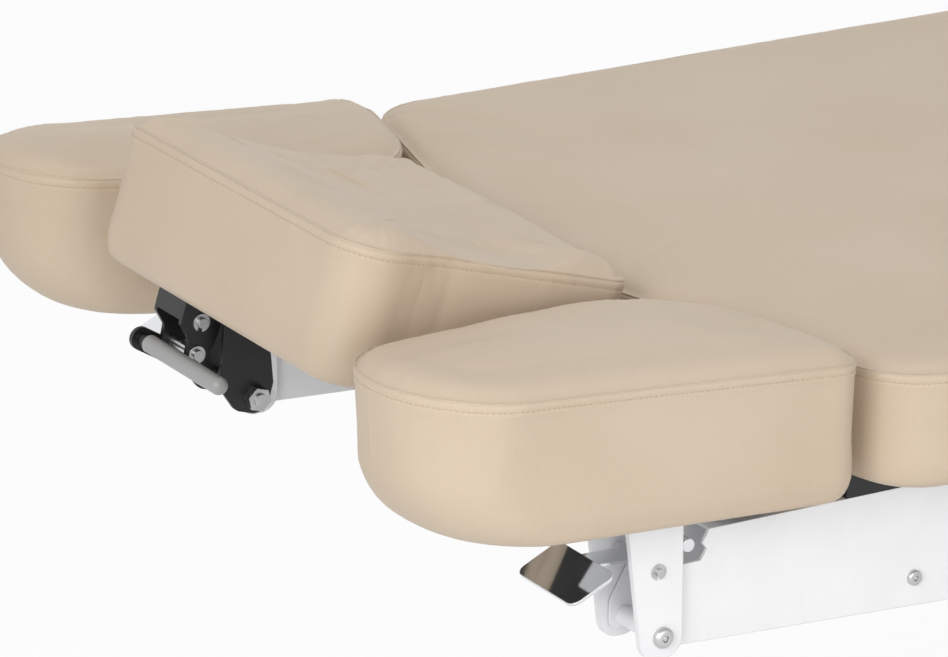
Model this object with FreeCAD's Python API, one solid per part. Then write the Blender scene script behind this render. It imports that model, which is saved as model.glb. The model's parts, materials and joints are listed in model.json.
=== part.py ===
# Electric facial bed: padded sections on a twin-column lifting base, millimetres.
# X runs from the head end to the foot end, Y to the left of a person lying on it, Z up from the floor.
import FreeCAD, Part
import math
import os
from FreeCAD import Placement, Rotation, Vector

os.makedirs("parts", exist_ok=True)

# Fits
RUNNING_CLEARANCE = 0.05
GLIDE_CLEARANCE = 0.2
SIDE_CLEARANCE = 1.0

# Padded sections
BED_WIDTH = 780.0
PAD_BOTTOM_Z = 548.0
PAD_THICKNESS = 100.0
SEAM_HEIGHT = 90.0
PAD_CROWN = 12.0
PAD_CROWN_RUN = 45.0
PAD_UNDERCUT = 14.0
BOARD_THICKNESS = 12.0
BOARD_INSET = 36.0
SECTION_GAP = 6.0
SEAT_HEAD_X = 95.0
SEAT_LENGTH = 325.0
BACK_LENGTH = 662.0
LEG_LENGTH = 457.9
END_CORNER_R = 25.0
LEG_CORNER_R = 90.0
NECK_HALF = 100.0
NECK_R = 200.0
SHOULDER_RUN = 76.0
SHOULDER_R = 60.0

# Section hinges
HINGE_PIN_R = 7.0
HINGE_LUG_R = 18.0
CHASSIS_LUG_T = 8.0
SECTION_LUG_T = 6.0
POCKET_MARGIN = 3.0
SWING_DEG = 60.0

# Backrest side arms
ARM_FROM_SIDE = 88.0
ARM_WIDTH = 48.0
ARM_WALL = 3.0
ARM_TOP_Z = 531.0
ARM_HEAD_DEPTH = 83.0
ARM_TAIL_DEPTH = 124.0
BEAM_WIDTH = 50.0
BEAM_DEPTH = 50.0
HEAD_BEAM_BACK = 68.0
TAIL_BEAM_AHEAD = 140.0
TAIL_BEAM_WIDTH = 40.0
TAIL_BEAM_RAIL_GAP = 4.0
ARM_SCREW_R = 6.0
ARM_SCREW_H = 3.5
ARM_SCREW_SOCKET = 4.0
ARM_SCREW_BACK = 222.0

# Armrests: corners of the plan from the backrest's head edge and in from the bed's side, with their radii
ARMREST_PLAN = ((0.0, 228.0, 107.0), (64.0, 13.0, 30.0), (-311.0, 14.0, 86.0), (-311.5, 156.0, 70.0))
ARMREST_BOTTOM_Z = 555.0
ARMREST_SEAM = 115.0
ARMREST_CROWN = 14.0
ARMREST_CROWN_RUN = 46.0
ARMREST_UNDERCUT = 22.0
ARMREST_NOSE_ROLL = 66.0
ARMREST_BOARD_EDGE = 10.0
ARMREST_TILT = 4.4
ARMREST_BASE_TILT = 3.0
ARMREST_LEVEL_BACK = 177.0

# Armrest bracket, pivot bolt and lever pin
BRACKET_T = 5.0
BRACKET_FLANGE_HEAD = 64.0
BRACKET_FLANGE_FOOT = 56.0
BRACKET_TOP_HEAD = 30.0
PIVOT_AHEAD = 93.0
PIVOT_Z = 458.0
PIVOT_BOLT_R = 4.0
PIVOT_LOBE_R = 17.0
BUSH_R = 7.5
BOLT_HEAD_R = 8.0
BOLT_HEAD_H = 5.0
HEX_SOCKET = 5.0
PIVOT_NUT_FLATS = 13.0
PIVOT_NUT_H = 7.0
LEVER_PIN_R = 3.0
LEVER_PIN_AHEAD = 4.0
LEVER_PIN_UP = 51.0
CLIP_T = 1.2
CLIP_WALL = 3.0

# Armrest release lever
PADDLE_LENGTH = 40.0
PADDLE_WIDTH = 78.0
PADDLE_SLOPE = 25.0
PADDLE_AHEAD = 40.0
PADDLE_RISE = 7.0
PADDLE_SHEET = 2.5
PADDLE_CORNER_R = 8.0
STEM_WIDTH = 24.0
LEVER_HUB_R = 6.0
LEVER_HUB_WIDTH = 44.0
PAWL_WIDTH = 12.0
PAWL_BAR_R = 5.0
PAWL_BAR_WIDTH = 46.0
PAWL_BACK = 30.0
PAWL_UP = 12.0

# Headrest in its own tilted frame: U from its head end, W from its seam
HEAD_TILT = 17.0
HEAD_BEYOND = 260.0
HEAD_SEAM_Z = 737.0
HEAD_LENGTH = 260.0
HEAD_HALF = 194.0
HEAD_WAIST_HALF = 172.0
HEAD_WAIST_U = 85.0
HEAD_NECK_HALF = 162.0
HEAD_SEAM = 104.0
HEAD_CROWN = 12.0
HEAD_CROWN_RUN = 42.0
HEAD_CORNER_R = 36.0
HEAD_WAIST_R = 150.0
HEAD_NECK_R = 22.0
HEAD_BOARD_T = 10.0
HEAD_BOARD_INSET = 28.0
VALLEY_U = 135.0
VALLEY_R = 210.0
HEAD_PIN_R = 5.0
HEAD_PIN_BEYOND = 23.0
HEAD_PIN_DROP = 18.0
STRAP_T = 6.0
STRAP_Y = 107.0
STRAP_FROM = 140.0
STRAP_EYE = 12.0
HEAD_LUG_SHOULDER = 40.0
HEAD_LUG_ROOT = 48.0

# Headrest release
RELEASE_NEAR_Y = 58.5
RELEASE_FAR_Y = 101.5
RELEASE_SHEET = 4.0
RELEASE_FRONT = 24.0
RELEASE_BACK = 58.0
RELEASE_DEPTH = 53.0
RELEASE_PIN_R = 4.0
UPPER_PIN = (41.0, 17.0)
LOWER_PIN = (44.0, 42.0)
MOUNT_BAR_SIDE = 14.0
MOUNT_BAR_U = 60.0
MOUNT_BAR_NEAR_Y = 30.0
MOUNT_BAR_FAR_Y = 125.0
NEAR_PLATE_Y = 45.0
FAR_PLATE_Y = 104.0
RELEASE_BOLT_R = 5.0
RELEASE_BOLT_U = 94.5
RELEASE_BOLT_DROP = 65.0
RELEASE_NUT_FLATS = 17.0
RELEASE_NUT_H = 9.0
RELEASE_PLATE_STEP = (30.0, 46.0)
RELEASE_LEVER_T = 4.0
RELEASE_LOBE_R = 13.0
HANDLE_U = 25.0
HANDLE_DROP = 47.0
HANDLE_R = 5.0
GRIP_R = 7.0
GRIP_NEAR_Y = -19.0
GRIP_FAR_Y = 97.0

# Actuators and the slotted cranks they push
CRANK_DROP = 90.0
ACTUATOR_Y = 70.0
ROD_R = 10.0
TUBE_R = 20.0
EYE_R = 13.0
EYE_WIDTH = 14.0
EYE_NECK = 40.0
CROSSHEAD_PIN_R = 6.0
CROSSHEAD_PIN_HALF = 16.0
SLOT_CLEARANCE = 2.3
SLOT_SPARE = 2.0
CRANK_T = 6.0
CRANK_WALL = 9.0
CRANK_BAR_DEPTH = 43.0
CRANK_BAR_DOWN = 2.0
BACK_TUBE = (130.0, 340.0)
LEG_TUBE = (98.0, 365.0)
BACK_ROD_INSIDE = 60.0
LEG_ROD_INSIDE = 120.0
GEARBOX_LENGTH = 60.0
GEARBOX_SIDE = 50.0
MOTOR_R = 24.0
MOTOR_BOTTOM_Z = 400.0
SADDLE_X = 200.0
SADDLE_LENGTH = 35.0
SADDLE_WIDTH = 60.0

# Chassis
RAIL_WIDTH = 36.0
RAIL_DEPTH = 80.0
RAIL_WALL = 3.0
RAIL_STEP_BACK = 25.0
RAIL_STEP_DOWN = 20.0
RAIL_TAIL_AHEAD = 35.0
RAIL_TAIL_SLANT = 45.0
LUG_NEAR = 30.0
LUG_FAR = 58.0
HEAD_PLATE_T = 10.0
HEAD_PLATE_LENGTH = 150.0

# Leg section frame
LEG_RAIL_DEPTH = 40.0
LEG_RAIL_FROM = 30.0
LEG_RAIL_SHORT = 25.0
LEG_TUBE_FROM = 130.0
LEG_TUBE_WIDTH = 40.0
LEG_LUG_TO = 70.0

# Lifting columns
HEAD_COLUMN_X = -100.0
FOOT_COLUMN_X = 260.0
COLUMN_LENGTH = 160.0
COLUMN_WIDTH = 120.0
COLUMN_WALL = 4.0
COLUMN_GAP = 3.0
COLUMN_RISE = 25.0
COLUMN_OUTER_TOP_Z = 385.0
COLUMN_FLOOR_GAP = 5.0
GLIDE_HEIGHT = 20.0
FLANGE_LENGTH = 210.0
FLANGE_T = 10.0
FLANGE_BOLT_R = 6.0
FLANGE_BOLT_H = 8.0
FLANGE_BOLT_INSET = 15.0
DRIVE_TUBE_R = 22.0
DRIVE_ROD_R = 12.0
DRIVE_TOP_Z = 430.0
DRIVE_ROD_BOTTOM_Z = 110.0
DRIVE_MOTOR = (90.0, 60.0, 90.0)

# Floor frame
FOOT_HEIGHT = 25.0
FOOT_PAD_R = 28.0
FOOT_PAD_H = 12.0
FOOT_STEM_R = 8.0
BASE_HEIGHT = 40.0
BASE_WALL = 3.0
BASE_RAIL_Y = 110.0
BASE_RAIL_WIDTH = 60.0
BASE_RAIL_HALF = 420.0
CROSS_WIDTH = 50.0
CROSS_HALF = 330.0
FOOT_INSET = 30.0
CAP_T = 4.0

# Control box
BOX_HALF_LENGTH = 70.0
BOX_HEIGHT = 70.0
BOX_EDGE_R = 8.0
INLET_LENGTH = 48.0
INLET_HEIGHT = 30.0
INLET_FLANGE = 4.0
INLET_OPENING = (28.0, 20.0)
INLET_RECESS = 16.0
INLET_DEPTH = 22.0

# Places worked out from the sizes above
NOSE_R = PAD_THICKNESS / 2
HALF_WIDTH = BED_WIDTH / 2
ARM_MID_Y = HALF_WIDTH - ARM_FROM_SIDE
HINGE_Z = PAD_BOTTOM_Z + NOSE_R
BACK_HINGE_X = SEAT_HEAD_X - SECTION_GAP - NOSE_R
LEG_HINGE_X = SEAT_HEAD_X + SEAT_LENGTH + SECTION_GAP + NOSE_R
BACK_HEAD_X = BACK_HINGE_X - BACK_LENGTH
LEG_FOOT_X = LEG_HINGE_X + LEG_LENGTH
ARM_INNER_Y = ARM_MID_Y - ARM_WIDTH / 2
ARM_OUTER_Y = ARM_MID_Y + ARM_WIDTH / 2
CLEVIS_INNER_Y = ARM_INNER_Y - SIDE_CLEARANCE
CLEVIS_OUTER_Y = ARM_OUTER_Y + SIDE_CLEARANCE
ARMREST_LEVEL_X = BACK_HEAD_X - ARMREST_LEVEL_BACK
PIVOT_X = BACK_HEAD_X - PIVOT_AHEAD
LEVER_PIN_X = PIVOT_X - LEVER_PIN_AHEAD
LEVER_PIN_Z = PIVOT_Z + LEVER_PIN_UP
RAIL_OUTER_Y = ARM_INNER_Y - 2 * SIDE_CLEARANCE
RAIL_INNER_Y = RAIL_OUTER_Y - RAIL_WIDTH
CHASSIS_LUG_Y = RAIL_OUTER_Y - CHASSIS_LUG_T
RAIL_BOTTOM_Z = PAD_BOTTOM_Z - RAIL_DEPTH
HEAD_PLATE_Z = RAIL_BOTTOM_Z - HEAD_PLATE_T
LEG_RAIL_Y = ARM_INNER_Y + 4 * SIDE_CLEARANCE
POCKET_LOW_Y = CHASSIS_LUG_Y - 2 * POCKET_MARGIN
POCKET_HIGH_Y = ARM_INNER_Y + SECTION_LUG_T + 2 * POCKET_MARGIN
BEAM_BOTTOM_Z = ARM_TOP_Z - BEAM_DEPTH
HEAD_BEAM_X = BACK_HEAD_X + HEAD_BEAM_BACK
ACTUATOR_Z = HINGE_Z - CRANK_DROP
CRANK_ANGLE = math.radians(SWING_DEG / 2)
CRANK_REACH = CRANK_DROP * math.tan(CRANK_ANGLE)
BASE_TOP_Z = FOOT_HEIGHT + BASE_HEIGHT
FLANGE_TOP_Z = BASE_TOP_Z + FLANGE_T
BASE_OUTER_Y = BASE_RAIL_Y + BASE_RAIL_WIDTH
FOOT_Y = CROSS_HALF - FOOT_INSET
BOX_MID_X = (HEAD_COLUMN_X + FOOT_COLUMN_X) / 2


def box(x0, x1, y0, y1, z0, z1):
    return Part.makeBox(x1 - x0, y1 - y0, z1 - z0, Vector(x0, y0, z0))


def rod_x(radius, y, z, x0, x1):
    return Part.makeCylinder(radius, x1 - x0, Vector(x0, y, z), Vector(1, 0, 0))


def rod_y(radius, x, z, y0, y1):
    return Part.makeCylinder(radius, y1 - y0, Vector(x, y0, z), Vector(0, 1, 0))


def rod_z(radius, x, y, z0, z1):
    return Part.makeCylinder(radius, z1 - z0, Vector(x, y, z0), Vector(0, 0, 1))


def mirrored(shape):
    return shape.mirror(Vector(0, 0, 0), Vector(0, 1, 0))


def both_sides(shape):
    return [shape, mirrored(shape)]


def rounded_wire(points, radii):
    """A closed outline of lines and arcs through flat points, corner i rounded to radii[i]."""
    count = len(points)
    arcs = []
    for i in range(count):
        back = (points[i - 1] - points[i]).normalize()
        ahead = (points[(i + 1) % count] - points[i]).normalize()
        half = back.getAngle(ahead) / 2
        reach = radii[i] / math.tan(half)
        middle = (back + ahead).normalize()
        centre = points[i] + middle * (radii[i] / math.sin(half))
        arcs.append((points[i] + back * reach, centre - middle * radii[i], points[i] + ahead * reach))
    edges = []
    for i in range(count):
        start, peak, end = arcs[i]
        edges.append(Part.Arc(start, peak, end).toShape())
        edges.append(Part.LineSegment(end, arcs[(i + 1) % count][0]).toShape())
    return Part.Wire(edges)


def plate_xz(corners, y0, y1):
    """A flat plate standing along X from y0 to y1; corners are (x, z, radius)."""
    wire = rounded_wire([Vector(x, y0, z) for x, z, _ in corners], [radius for _, _, radius in corners])
    return Part.Face(wire).extrude(Vector(0, y1 - y0, 0))


def sheet_xz(corners, y0, y1):
    """A plate like plate_xz with sharp corners (x, z)."""
    points = [Vector(x, y0, z) for x, z in corners]
    return Part.Face(Part.makePolygon(points + points[:1])).extrude(Vector(0, y1 - y0, 0))


def plate_xy(corners, z0, z1):
    """A flat lying plate from z0 to z1; corners are (x, y, radius)."""
    wire = rounded_wire([Vector(x, y, z0) for x, y, _ in corners], [radius for _, _, radius in corners])
    return Part.Face(wire).extrude(Vector(0, 0, z1 - z0))


def tube_box(x0, x1, y0, y1, z0, z1, wall, along):
    """A rectangular tube open at both ends, running along the named axis."""
    gaps = {"x": (0, wall, wall), "y": (wall, 0, wall), "z": (wall, wall, 0)}[along]
    inside = box(x0 + gaps[0], x1 - gaps[0], y0 + gaps[1], y1 - gaps[1], z0 + gaps[2], z1 - gaps[2])
    return box(x0, x1, y0, y1, z0, z1).cut(inside)


def stadium(start, end, radius, y0, y1):
    """A plate with round ends about two points in the XZ plane."""
    way = (end - start).normalize()
    across = Vector(-way.z, 0, way.x) * radius
    corners = [start + across, end + across, end - across, start - across]
    shape = sheet_xz([(point.x, point.z) for point in corners], y0, y1)
    for point in (start, end):
        shape = shape.fuse(rod_y(radius, point.x, point.z, y0, y1))
    return shape.removeSplitter()


def inset_corners(corners, insets):
    """The outline (x, y, radius) drawn in by insets[i] along the side from corner i to the next one."""
    count = len(corners)
    sides = []
    for i in range(count):
        x0, y0, _ = corners[i]
        x1, y1, _ = corners[(i + 1) % count]
        length = math.hypot(x1 - x0, y1 - y0)
        across = ((y0 - y1) / length, (x1 - x0) / length)
        sides.append((across, across[0] * x0 + across[1] * y0 + insets[i]))
    drawn = []
    for i in range(count):
        (a, p), (b, q) = sides[i - 1], sides[i]
        turn = a[0] * b[1] - a[1] * b[0]
        radius = max(corners[i][2] - min(insets[i - 1], insets[i]), 6.0)
        drawn.append(((p * b[1] - q * a[1]) / turn, (a[0] * q - b[0] * p) / turn, radius))
    return drawn


# Side of a pad up to its seam: share of the seam's height, share of the undercut
PAD_SIDE = ((0.0, 1.0), (0.04, 0.5), (0.1, 0.24), (0.2, 0.08), (0.5, 0.1), (0.88, 0.04), (1.0, 0.0))
# Crown above the seam: share of the rise, share of the run inwards
PAD_TOP = ((0.5, 0.12), (0.82, 0.4), (1.0, 1.0))
# Extra heights of a half-round end, as shares of the pad's thickness
NOSE_STEPS = (0.015, 0.06, 0.14, 0.32, 0.68, 0.85, 0.935, 0.98)


def pad_levels(seam, crown, run, undercut=PAD_UNDERCUT):
    """Heights above a pad's base, from its base to the top of its crown, with the inset of its sides there."""
    levels = [(seam * height, undercut * inset) for height, inset in PAD_SIDE]
    return levels + [(seam + crown * rise, run * inset) for rise, inset in PAD_TOP]


def side_inset(levels, height):
    for (low, at_low), (high, at_high) in zip(levels, levels[1:]):
        if low <= height <= high:
            return at_low + (at_high - at_low) * (height - low) / (high - low)
    return levels[-1][1]


def nose_inset(height, plain):
    if height >= PAD_THICKNESS:
        return NOSE_R + plain / 2
    return NOSE_R - math.sqrt(max(NOSE_R ** 2 - (height - NOSE_R) ** 2, 0.0))


def roll_inset(height, radius):
    return radius - math.sqrt(radius ** 2 - max(radius - height, 0.0) ** 2)


def pad(corners, levels, base_z, nose_sides=(), rolls=None, tilts=(0.0, 0.0), level_x=0.0):
    """A crowned cushion lofted through its outline at each level; its nose sides are half round.

    rolls gives sides whose lower edge is rounded to a radius of its own, tilts the tilt of the base and of the seam."""
    heights = [height for height, _ in levels]
    if nose_sides:
        steps = [PAD_THICKNESS * step for step in NOSE_STEPS]
        heights = sorted(heights + [step for step in steps if min(abs(step - plain) for plain in heights) > 1])
    seam = levels[len(PAD_SIDE) - 1][0]
    wires = []
    for height in heights:
        plain = side_inset(levels, height)
        insets = [nose_inset(height, plain) if i in nose_sides else plain for i in range(len(corners))]
        for i, radius in (rolls or {}).items():
            insets[i] = max(plain, roll_inset(height, radius))
        outline = inset_corners(corners, insets)
        wire = rounded_wire([Vector(x, y, base_z + height) for x, y, _ in outline], [r for _, _, r in outline])
        if tilts[1]:
            tilt = tilts[0] + (tilts[1] - tilts[0]) * min(height / seam, 1.0)
            wire.rotate(Vector(level_x, 0, base_z + height), Vector(0, 1, 0), tilt)
        wires.append(wire)
    return Part.makeLoft(wires, True, True)


def board(corners, insets, base_z, thickness):
    return plate_xy(inset_corners(corners, insets), base_z, base_z + thickness)


def hinge_pockets(low_x, high_x):
    """Room at both sides of a section's half-round end for the hinge lugs that reach up into it."""
    return both_sides(box(low_x, high_x, POCKET_LOW_Y, POCKET_HIGH_Y, PAD_BOTTOM_Z - POCKET_MARGIN,
                          HINGE_Z + HINGE_LUG_R + 3 * POCKET_MARGIN))


def hex_prism(flats, x, z, y0, y1):
    reach = flats / math.sqrt(3)
    turns = [math.radians(60 * i) for i in range(6)]
    return sheet_xz([(x + reach * math.cos(turn), z + reach * math.sin(turn)) for turn in turns], y0, y1)


def nut(bolt_r, flats, x, z, y0, y1):
    return hex_prism(flats, x, z, y0, y1).cut(rod_y(bolt_r + RUNNING_CLEARANCE, x, z, y0, y1))


def spring_clip(shaft_r, x, z, y0):
    hole = rod_y(shaft_r + RUNNING_CLEARANCE, x, z, y0, y0 + CLIP_T)
    gap = box(x - shaft_r / 2, x + shaft_r / 2, y0, y0 + CLIP_T, z - shaft_r - 2 * CLIP_WALL, z)
    return rod_y(shaft_r + CLIP_WALL, x, z, y0, y0 + CLIP_T).cut(hole).cut(gap)


def solids_of(shapes):
    found = []
    for shape in shapes if isinstance(shapes, list) else [shapes]:
        found += shape.Solids
    return found


def save(name, shapes):
    found = solids_of(shapes)
    shape = found[0] if len(found) == 1 else Part.makeCompound(found)
    shape.exportStep("parts/" + name + ".step")
    edge = shape.BoundBox
    spans = (edge.XMin, edge.XMax, edge.YMin, edge.YMax, edge.ZMin, edge.ZMax)
    print(name, len(found), shape.isValid(), round(shape.Volume / 1000, 1), [round(span, 1) for span in spans])


def save_pair(name, shapes):
    found = solids_of(shapes)
    save(name.replace("SIDE", "left"), found)
    save(name.replace("SIDE", "right"), [mirrored(shape) for shape in found])


# Plans of the padded sections, anticlockwise from above
BACK_PLAN = [
    (BACK_HEAD_X, -NECK_HALF, NECK_R), (BACK_HEAD_X + SHOULDER_RUN, -HALF_WIDTH, SHOULDER_R),
    (BACK_HINGE_X + NOSE_R, -HALF_WIDTH, END_CORNER_R), (BACK_HINGE_X + NOSE_R, HALF_WIDTH, END_CORNER_R),
    (BACK_HEAD_X + SHOULDER_RUN, HALF_WIDTH, SHOULDER_R), (BACK_HEAD_X, NECK_HALF, NECK_R)]
SEAT_PLAN = [
    (SEAT_HEAD_X, -HALF_WIDTH, END_CORNER_R), (SEAT_HEAD_X + SEAT_LENGTH, -HALF_WIDTH, END_CORNER_R),
    (SEAT_HEAD_X + SEAT_LENGTH, HALF_WIDTH, END_CORNER_R), (SEAT_HEAD_X, HALF_WIDTH, END_CORNER_R)]
LEG_PLAN = [
    (LEG_HINGE_X - NOSE_R, -HALF_WIDTH, END_CORNER_R), (LEG_FOOT_X, -HALF_WIDTH, LEG_CORNER_R),
    (LEG_FOOT_X, HALF_WIDTH, LEG_CORNER_R), (LEG_HINGE_X - NOSE_R, HALF_WIDTH, END_CORNER_R)]
SECTION_LEVELS = pad_levels(SEAM_HEIGHT, PAD_CROWN, PAD_CROWN_RUN)


def make_sections():
    """Backrest, seat and leg cushions with the boards let into their undersides."""
    lug_room = HINGE_LUG_R + 2 * POCKET_MARGIN
    back_insets = [BOARD_INSET, BOARD_INSET, NOSE_R + lug_room + BOARD_THICKNESS * 4, BOARD_INSET, BOARD_INSET,
                   BOARD_INSET]
    back_board = board(BACK_PLAN, back_insets, PAD_BOTTOM_Z, BOARD_THICKNESS)
    cushion = pad(BACK_PLAN, SECTION_LEVELS, PAD_BOTTOM_Z, nose_sides=(2,)).cut(back_board)
    for pocket in hinge_pockets(BACK_HINGE_X - lug_room, BACK_HINGE_X + NOSE_R + POCKET_MARGIN):
        cushion = cushion.cut(pocket)
    save("backrest_cushion", cushion)
    save("backrest_board", back_board)
    seat_insets = [BOARD_INSET, NOSE_R + POCKET_MARGIN, BOARD_INSET, NOSE_R + POCKET_MARGIN]
    seat_board = board(SEAT_PLAN, seat_insets, PAD_BOTTOM_Z, BOARD_THICKNESS)
    save("seat_cushion", pad(SEAT_PLAN, SECTION_LEVELS, PAD_BOTTOM_Z, nose_sides=(1, 3)).cut(seat_board))
    save("seat_board", seat_board)
    pocket_to = LEG_LUG_TO + 2 * POCKET_MARGIN
    leg_insets = [BOARD_INSET, BOARD_INSET, BOARD_INSET, NOSE_R + pocket_to + BOARD_INSET]
    leg_board = board(LEG_PLAN, leg_insets, PAD_BOTTOM_Z, BOARD_THICKNESS)
    cushion = pad(LEG_PLAN, SECTION_LEVELS, PAD_BOTTOM_Z, nose_sides=(3,)).cut(leg_board)
    for pocket in hinge_pockets(LEG_HINGE_X - NOSE_R - POCKET_MARGIN, LEG_HINGE_X + pocket_to):
        cushion = cushion.cut(pocket)
    save("legrest_cushion", cushion)
    save("legrest_board", leg_board)


def make_arms():
    """White folded-steel side arms, open below: catch for the armrest at the head, hinge lug at the tail."""
    tail_x = BACK_HINGE_X + HINGE_LUG_R + 2 * SIDE_CLEARANCE
    nose_x = PIVOT_X - BOLT_HEAD_R - PIVOT_BOLT_R
    catch_x = PIVOT_X + PAWL_BACK + PAWL_BAR_R + 2 * LEVER_PIN_R
    catch_z = LEVER_PIN_Z - SIDE_CLEARANCE
    profile = [
        (nose_x, ARM_TOP_Z - ARM_HEAD_DEPTH, 6.0), (tail_x, ARM_TOP_Z - ARM_TAIL_DEPTH, 4.0), (tail_x, ARM_TOP_Z, 2.0),
        (catch_x + 2, ARM_TOP_Z, 2.0), (catch_x - 4, catch_z + 13, 1.0), (catch_x, catch_z + 8, 1.5),
        (catch_x - 5, catch_z, 2.5), (nose_x + 22, catch_z, 4.0), (nose_x, PIVOT_Z + PIVOT_LOBE_R - 5, 8.0)]
    hollow = box(nose_x - 1, tail_x + 1, ARM_INNER_Y + ARM_WALL, ARM_OUTER_Y - ARM_WALL, 0, ARM_TOP_Z - ARM_WALL)
    catch_room = box(nose_x - 1, catch_x + 3, ARM_INNER_Y + ARM_WALL, ARM_OUTER_Y - ARM_WALL, 0, ARM_TOP_Z + 1)
    lug = sheet_xz([(BACK_HINGE_X - HINGE_LUG_R, ARM_TOP_Z - ARM_TAIL_DEPTH / 2),
                    (BACK_HINGE_X + HINGE_LUG_R, ARM_TOP_Z - ARM_TAIL_DEPTH / 2),
                    (BACK_HINGE_X + HINGE_LUG_R, HINGE_Z), (BACK_HINGE_X - HINGE_LUG_R, HINGE_Z)],
                   ARM_INNER_Y, ARM_INNER_Y + SECTION_LUG_T)
    lug = lug.fuse(rod_y(HINGE_LUG_R, BACK_HINGE_X, HINGE_Z, ARM_INNER_Y, ARM_INNER_Y + SECTION_LUG_T))
    bush = rod_y(BUSH_R, PIVOT_X, PIVOT_Z, ARM_INNER_Y, ARM_OUTER_Y)
    arm = plate_xz(profile, ARM_INNER_Y, ARM_OUTER_Y).cut(hollow).cut(catch_room).fuse(lug).fuse(bush)
    arm = arm.cut(rod_y(PIVOT_BOLT_R + RUNNING_CLEARANCE, PIVOT_X, PIVOT_Z, ARM_INNER_Y, ARM_OUTER_Y))
    arm = arm.cut(rod_y(HINGE_PIN_R + RUNNING_CLEARANCE, BACK_HINGE_X, HINGE_Z, ARM_INNER_Y, ARM_OUTER_Y))
    save_pair("backrest_arm_SIDE", arm.removeSplitter())
    screws = []
    for x in (PIVOT_X + ARM_SCREW_BACK, BACK_HINGE_X - 2 * BEAM_WIDTH):
        screw = rod_y(ARM_SCREW_R, x, PIVOT_Z, ARM_OUTER_Y, ARM_OUTER_Y + ARM_SCREW_H)
        rim = [edge for edge in screw.Edges if edge.BoundBox.YMin > ARM_OUTER_Y + ARM_SCREW_H / 2]
        socket = hex_prism(ARM_SCREW_SOCKET, x, PIVOT_Z, ARM_OUTER_Y + ARM_SCREW_H / 3, ARM_OUTER_Y + ARM_SCREW_H)
        screws += both_sides(screw.makeFillet(ARM_SCREW_H / 2, rim).cut(socket))
    save("arm_screws", screws)


def crank_plates(hinge_x, beam_x, mid_y):
    """Two plates from a beam to a slot, radial to the section's hinge, that an actuator's cross pin rides in."""
    way = Vector(math.sin(CRANK_ANGLE), 0, -math.cos(CRANK_ANGLE))
    hinge = Vector(hinge_x, 0, HINGE_Z)
    start = hinge + way * (CRANK_DROP - SLOT_SPARE)
    end = hinge + way * (CRANK_DROP / math.cos(CRANK_ANGLE) + SLOT_SPARE)
    slot_r = CROSSHEAD_PIN_R + SLOT_CLEARANCE
    bar_top = ARM_TOP_Z - CRANK_BAR_DOWN
    gap = EYE_WIDTH / 2 + SIDE_CLEARANCE
    plates = []
    for y0 in (mid_y - gap - CRANK_T, mid_y + gap):
        bar = box(min(beam_x, start.x), max(beam_x, start.x), y0, y0 + CRANK_T, bar_top - CRANK_BAR_DEPTH, bar_top)
        plate = bar.fuse(stadium(start, end, slot_r + CRANK_WALL, y0, y0 + CRANK_T))
        plates.append(plate.cut(stadium(start, end, slot_r, y0, y0 + CRANK_T)))
    return plates


def make_beams():
    """Black cross beams under the backrest, the tail one carrying the crank, and the headrest's hinge lugs."""
    head = box(HEAD_BEAM_X, HEAD_BEAM_X + BEAM_WIDTH, -ARM_OUTER_Y, ARM_OUTER_Y, ARM_TOP_Z, PAD_BOTTOM_Z)
    head = head.fuse(box(HEAD_BEAM_X, HEAD_BEAM_X + BEAM_WIDTH, -ARM_INNER_Y, ARM_INNER_Y, BEAM_BOTTOM_Z, ARM_TOP_Z))
    save("backrest_cross_head", head.removeSplitter())
    tail_x = BACK_HINGE_X - TAIL_BEAM_AHEAD
    tail = box(tail_x - TAIL_BEAM_WIDTH, tail_x, -ARM_OUTER_Y, ARM_OUTER_Y, ARM_TOP_Z, PAD_BOTTOM_Z)
    web_y = RAIL_INNER_Y - TAIL_BEAM_RAIL_GAP
    tail = tail.fuse(box(tail_x - TAIL_BEAM_WIDTH, tail_x, -web_y, web_y, BEAM_BOTTOM_Z, ARM_TOP_Z))
    for plate in crank_plates(BACK_HINGE_X, tail_x, ACTUATOR_Y):
        tail = tail.fuse(plate)
    save("backrest_cross_tail", tail.removeSplitter())
    far_y = STRAP_Y - SIDE_CLEARANCE
    lug = plate_xz([(HEAD_BEAM_X, BEAM_BOTTOM_Z + 3, 1.0), (HEAD_BEAM_X, ARM_TOP_Z - 3, 1.0),
                    (HEAD_PIN.x + HEAD_LUG_SHOULDER, ARM_TOP_Z - 3, 8.0),
                    (HEAD_PIN.x + STRAP_EYE, HEAD_PIN.z + STRAP_EYE, 10.0),
                    (HEAD_PIN.x - STRAP_EYE, HEAD_PIN.z + STRAP_EYE, 11.0),
                    (HEAD_PIN.x - STRAP_EYE, HEAD_PIN.z - STRAP_EYE, 11.0),
                    (HEAD_PIN.x + HEAD_LUG_ROOT, BEAM_BOTTOM_Z + 9, 10.0)], far_y - STRAP_T, far_y)
    lug = lug.cut(rod_y(HEAD_PIN_R + RUNNING_CLEARANCE, HEAD_PIN.x, HEAD_PIN.z, 0, BED_WIDTH))
    save("headrest_hinge_lugs", both_sides(lug))


def tipped(shape):
    """A shape drawn on the armrest's level base, tipped up at the head end with it."""
    shape.rotate(Vector(ARMREST_LEVEL_X, 0, ARMREST_BOTTOM_Z), Vector(0, 1, 0), ARMREST_BASE_TILT)
    return shape


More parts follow.
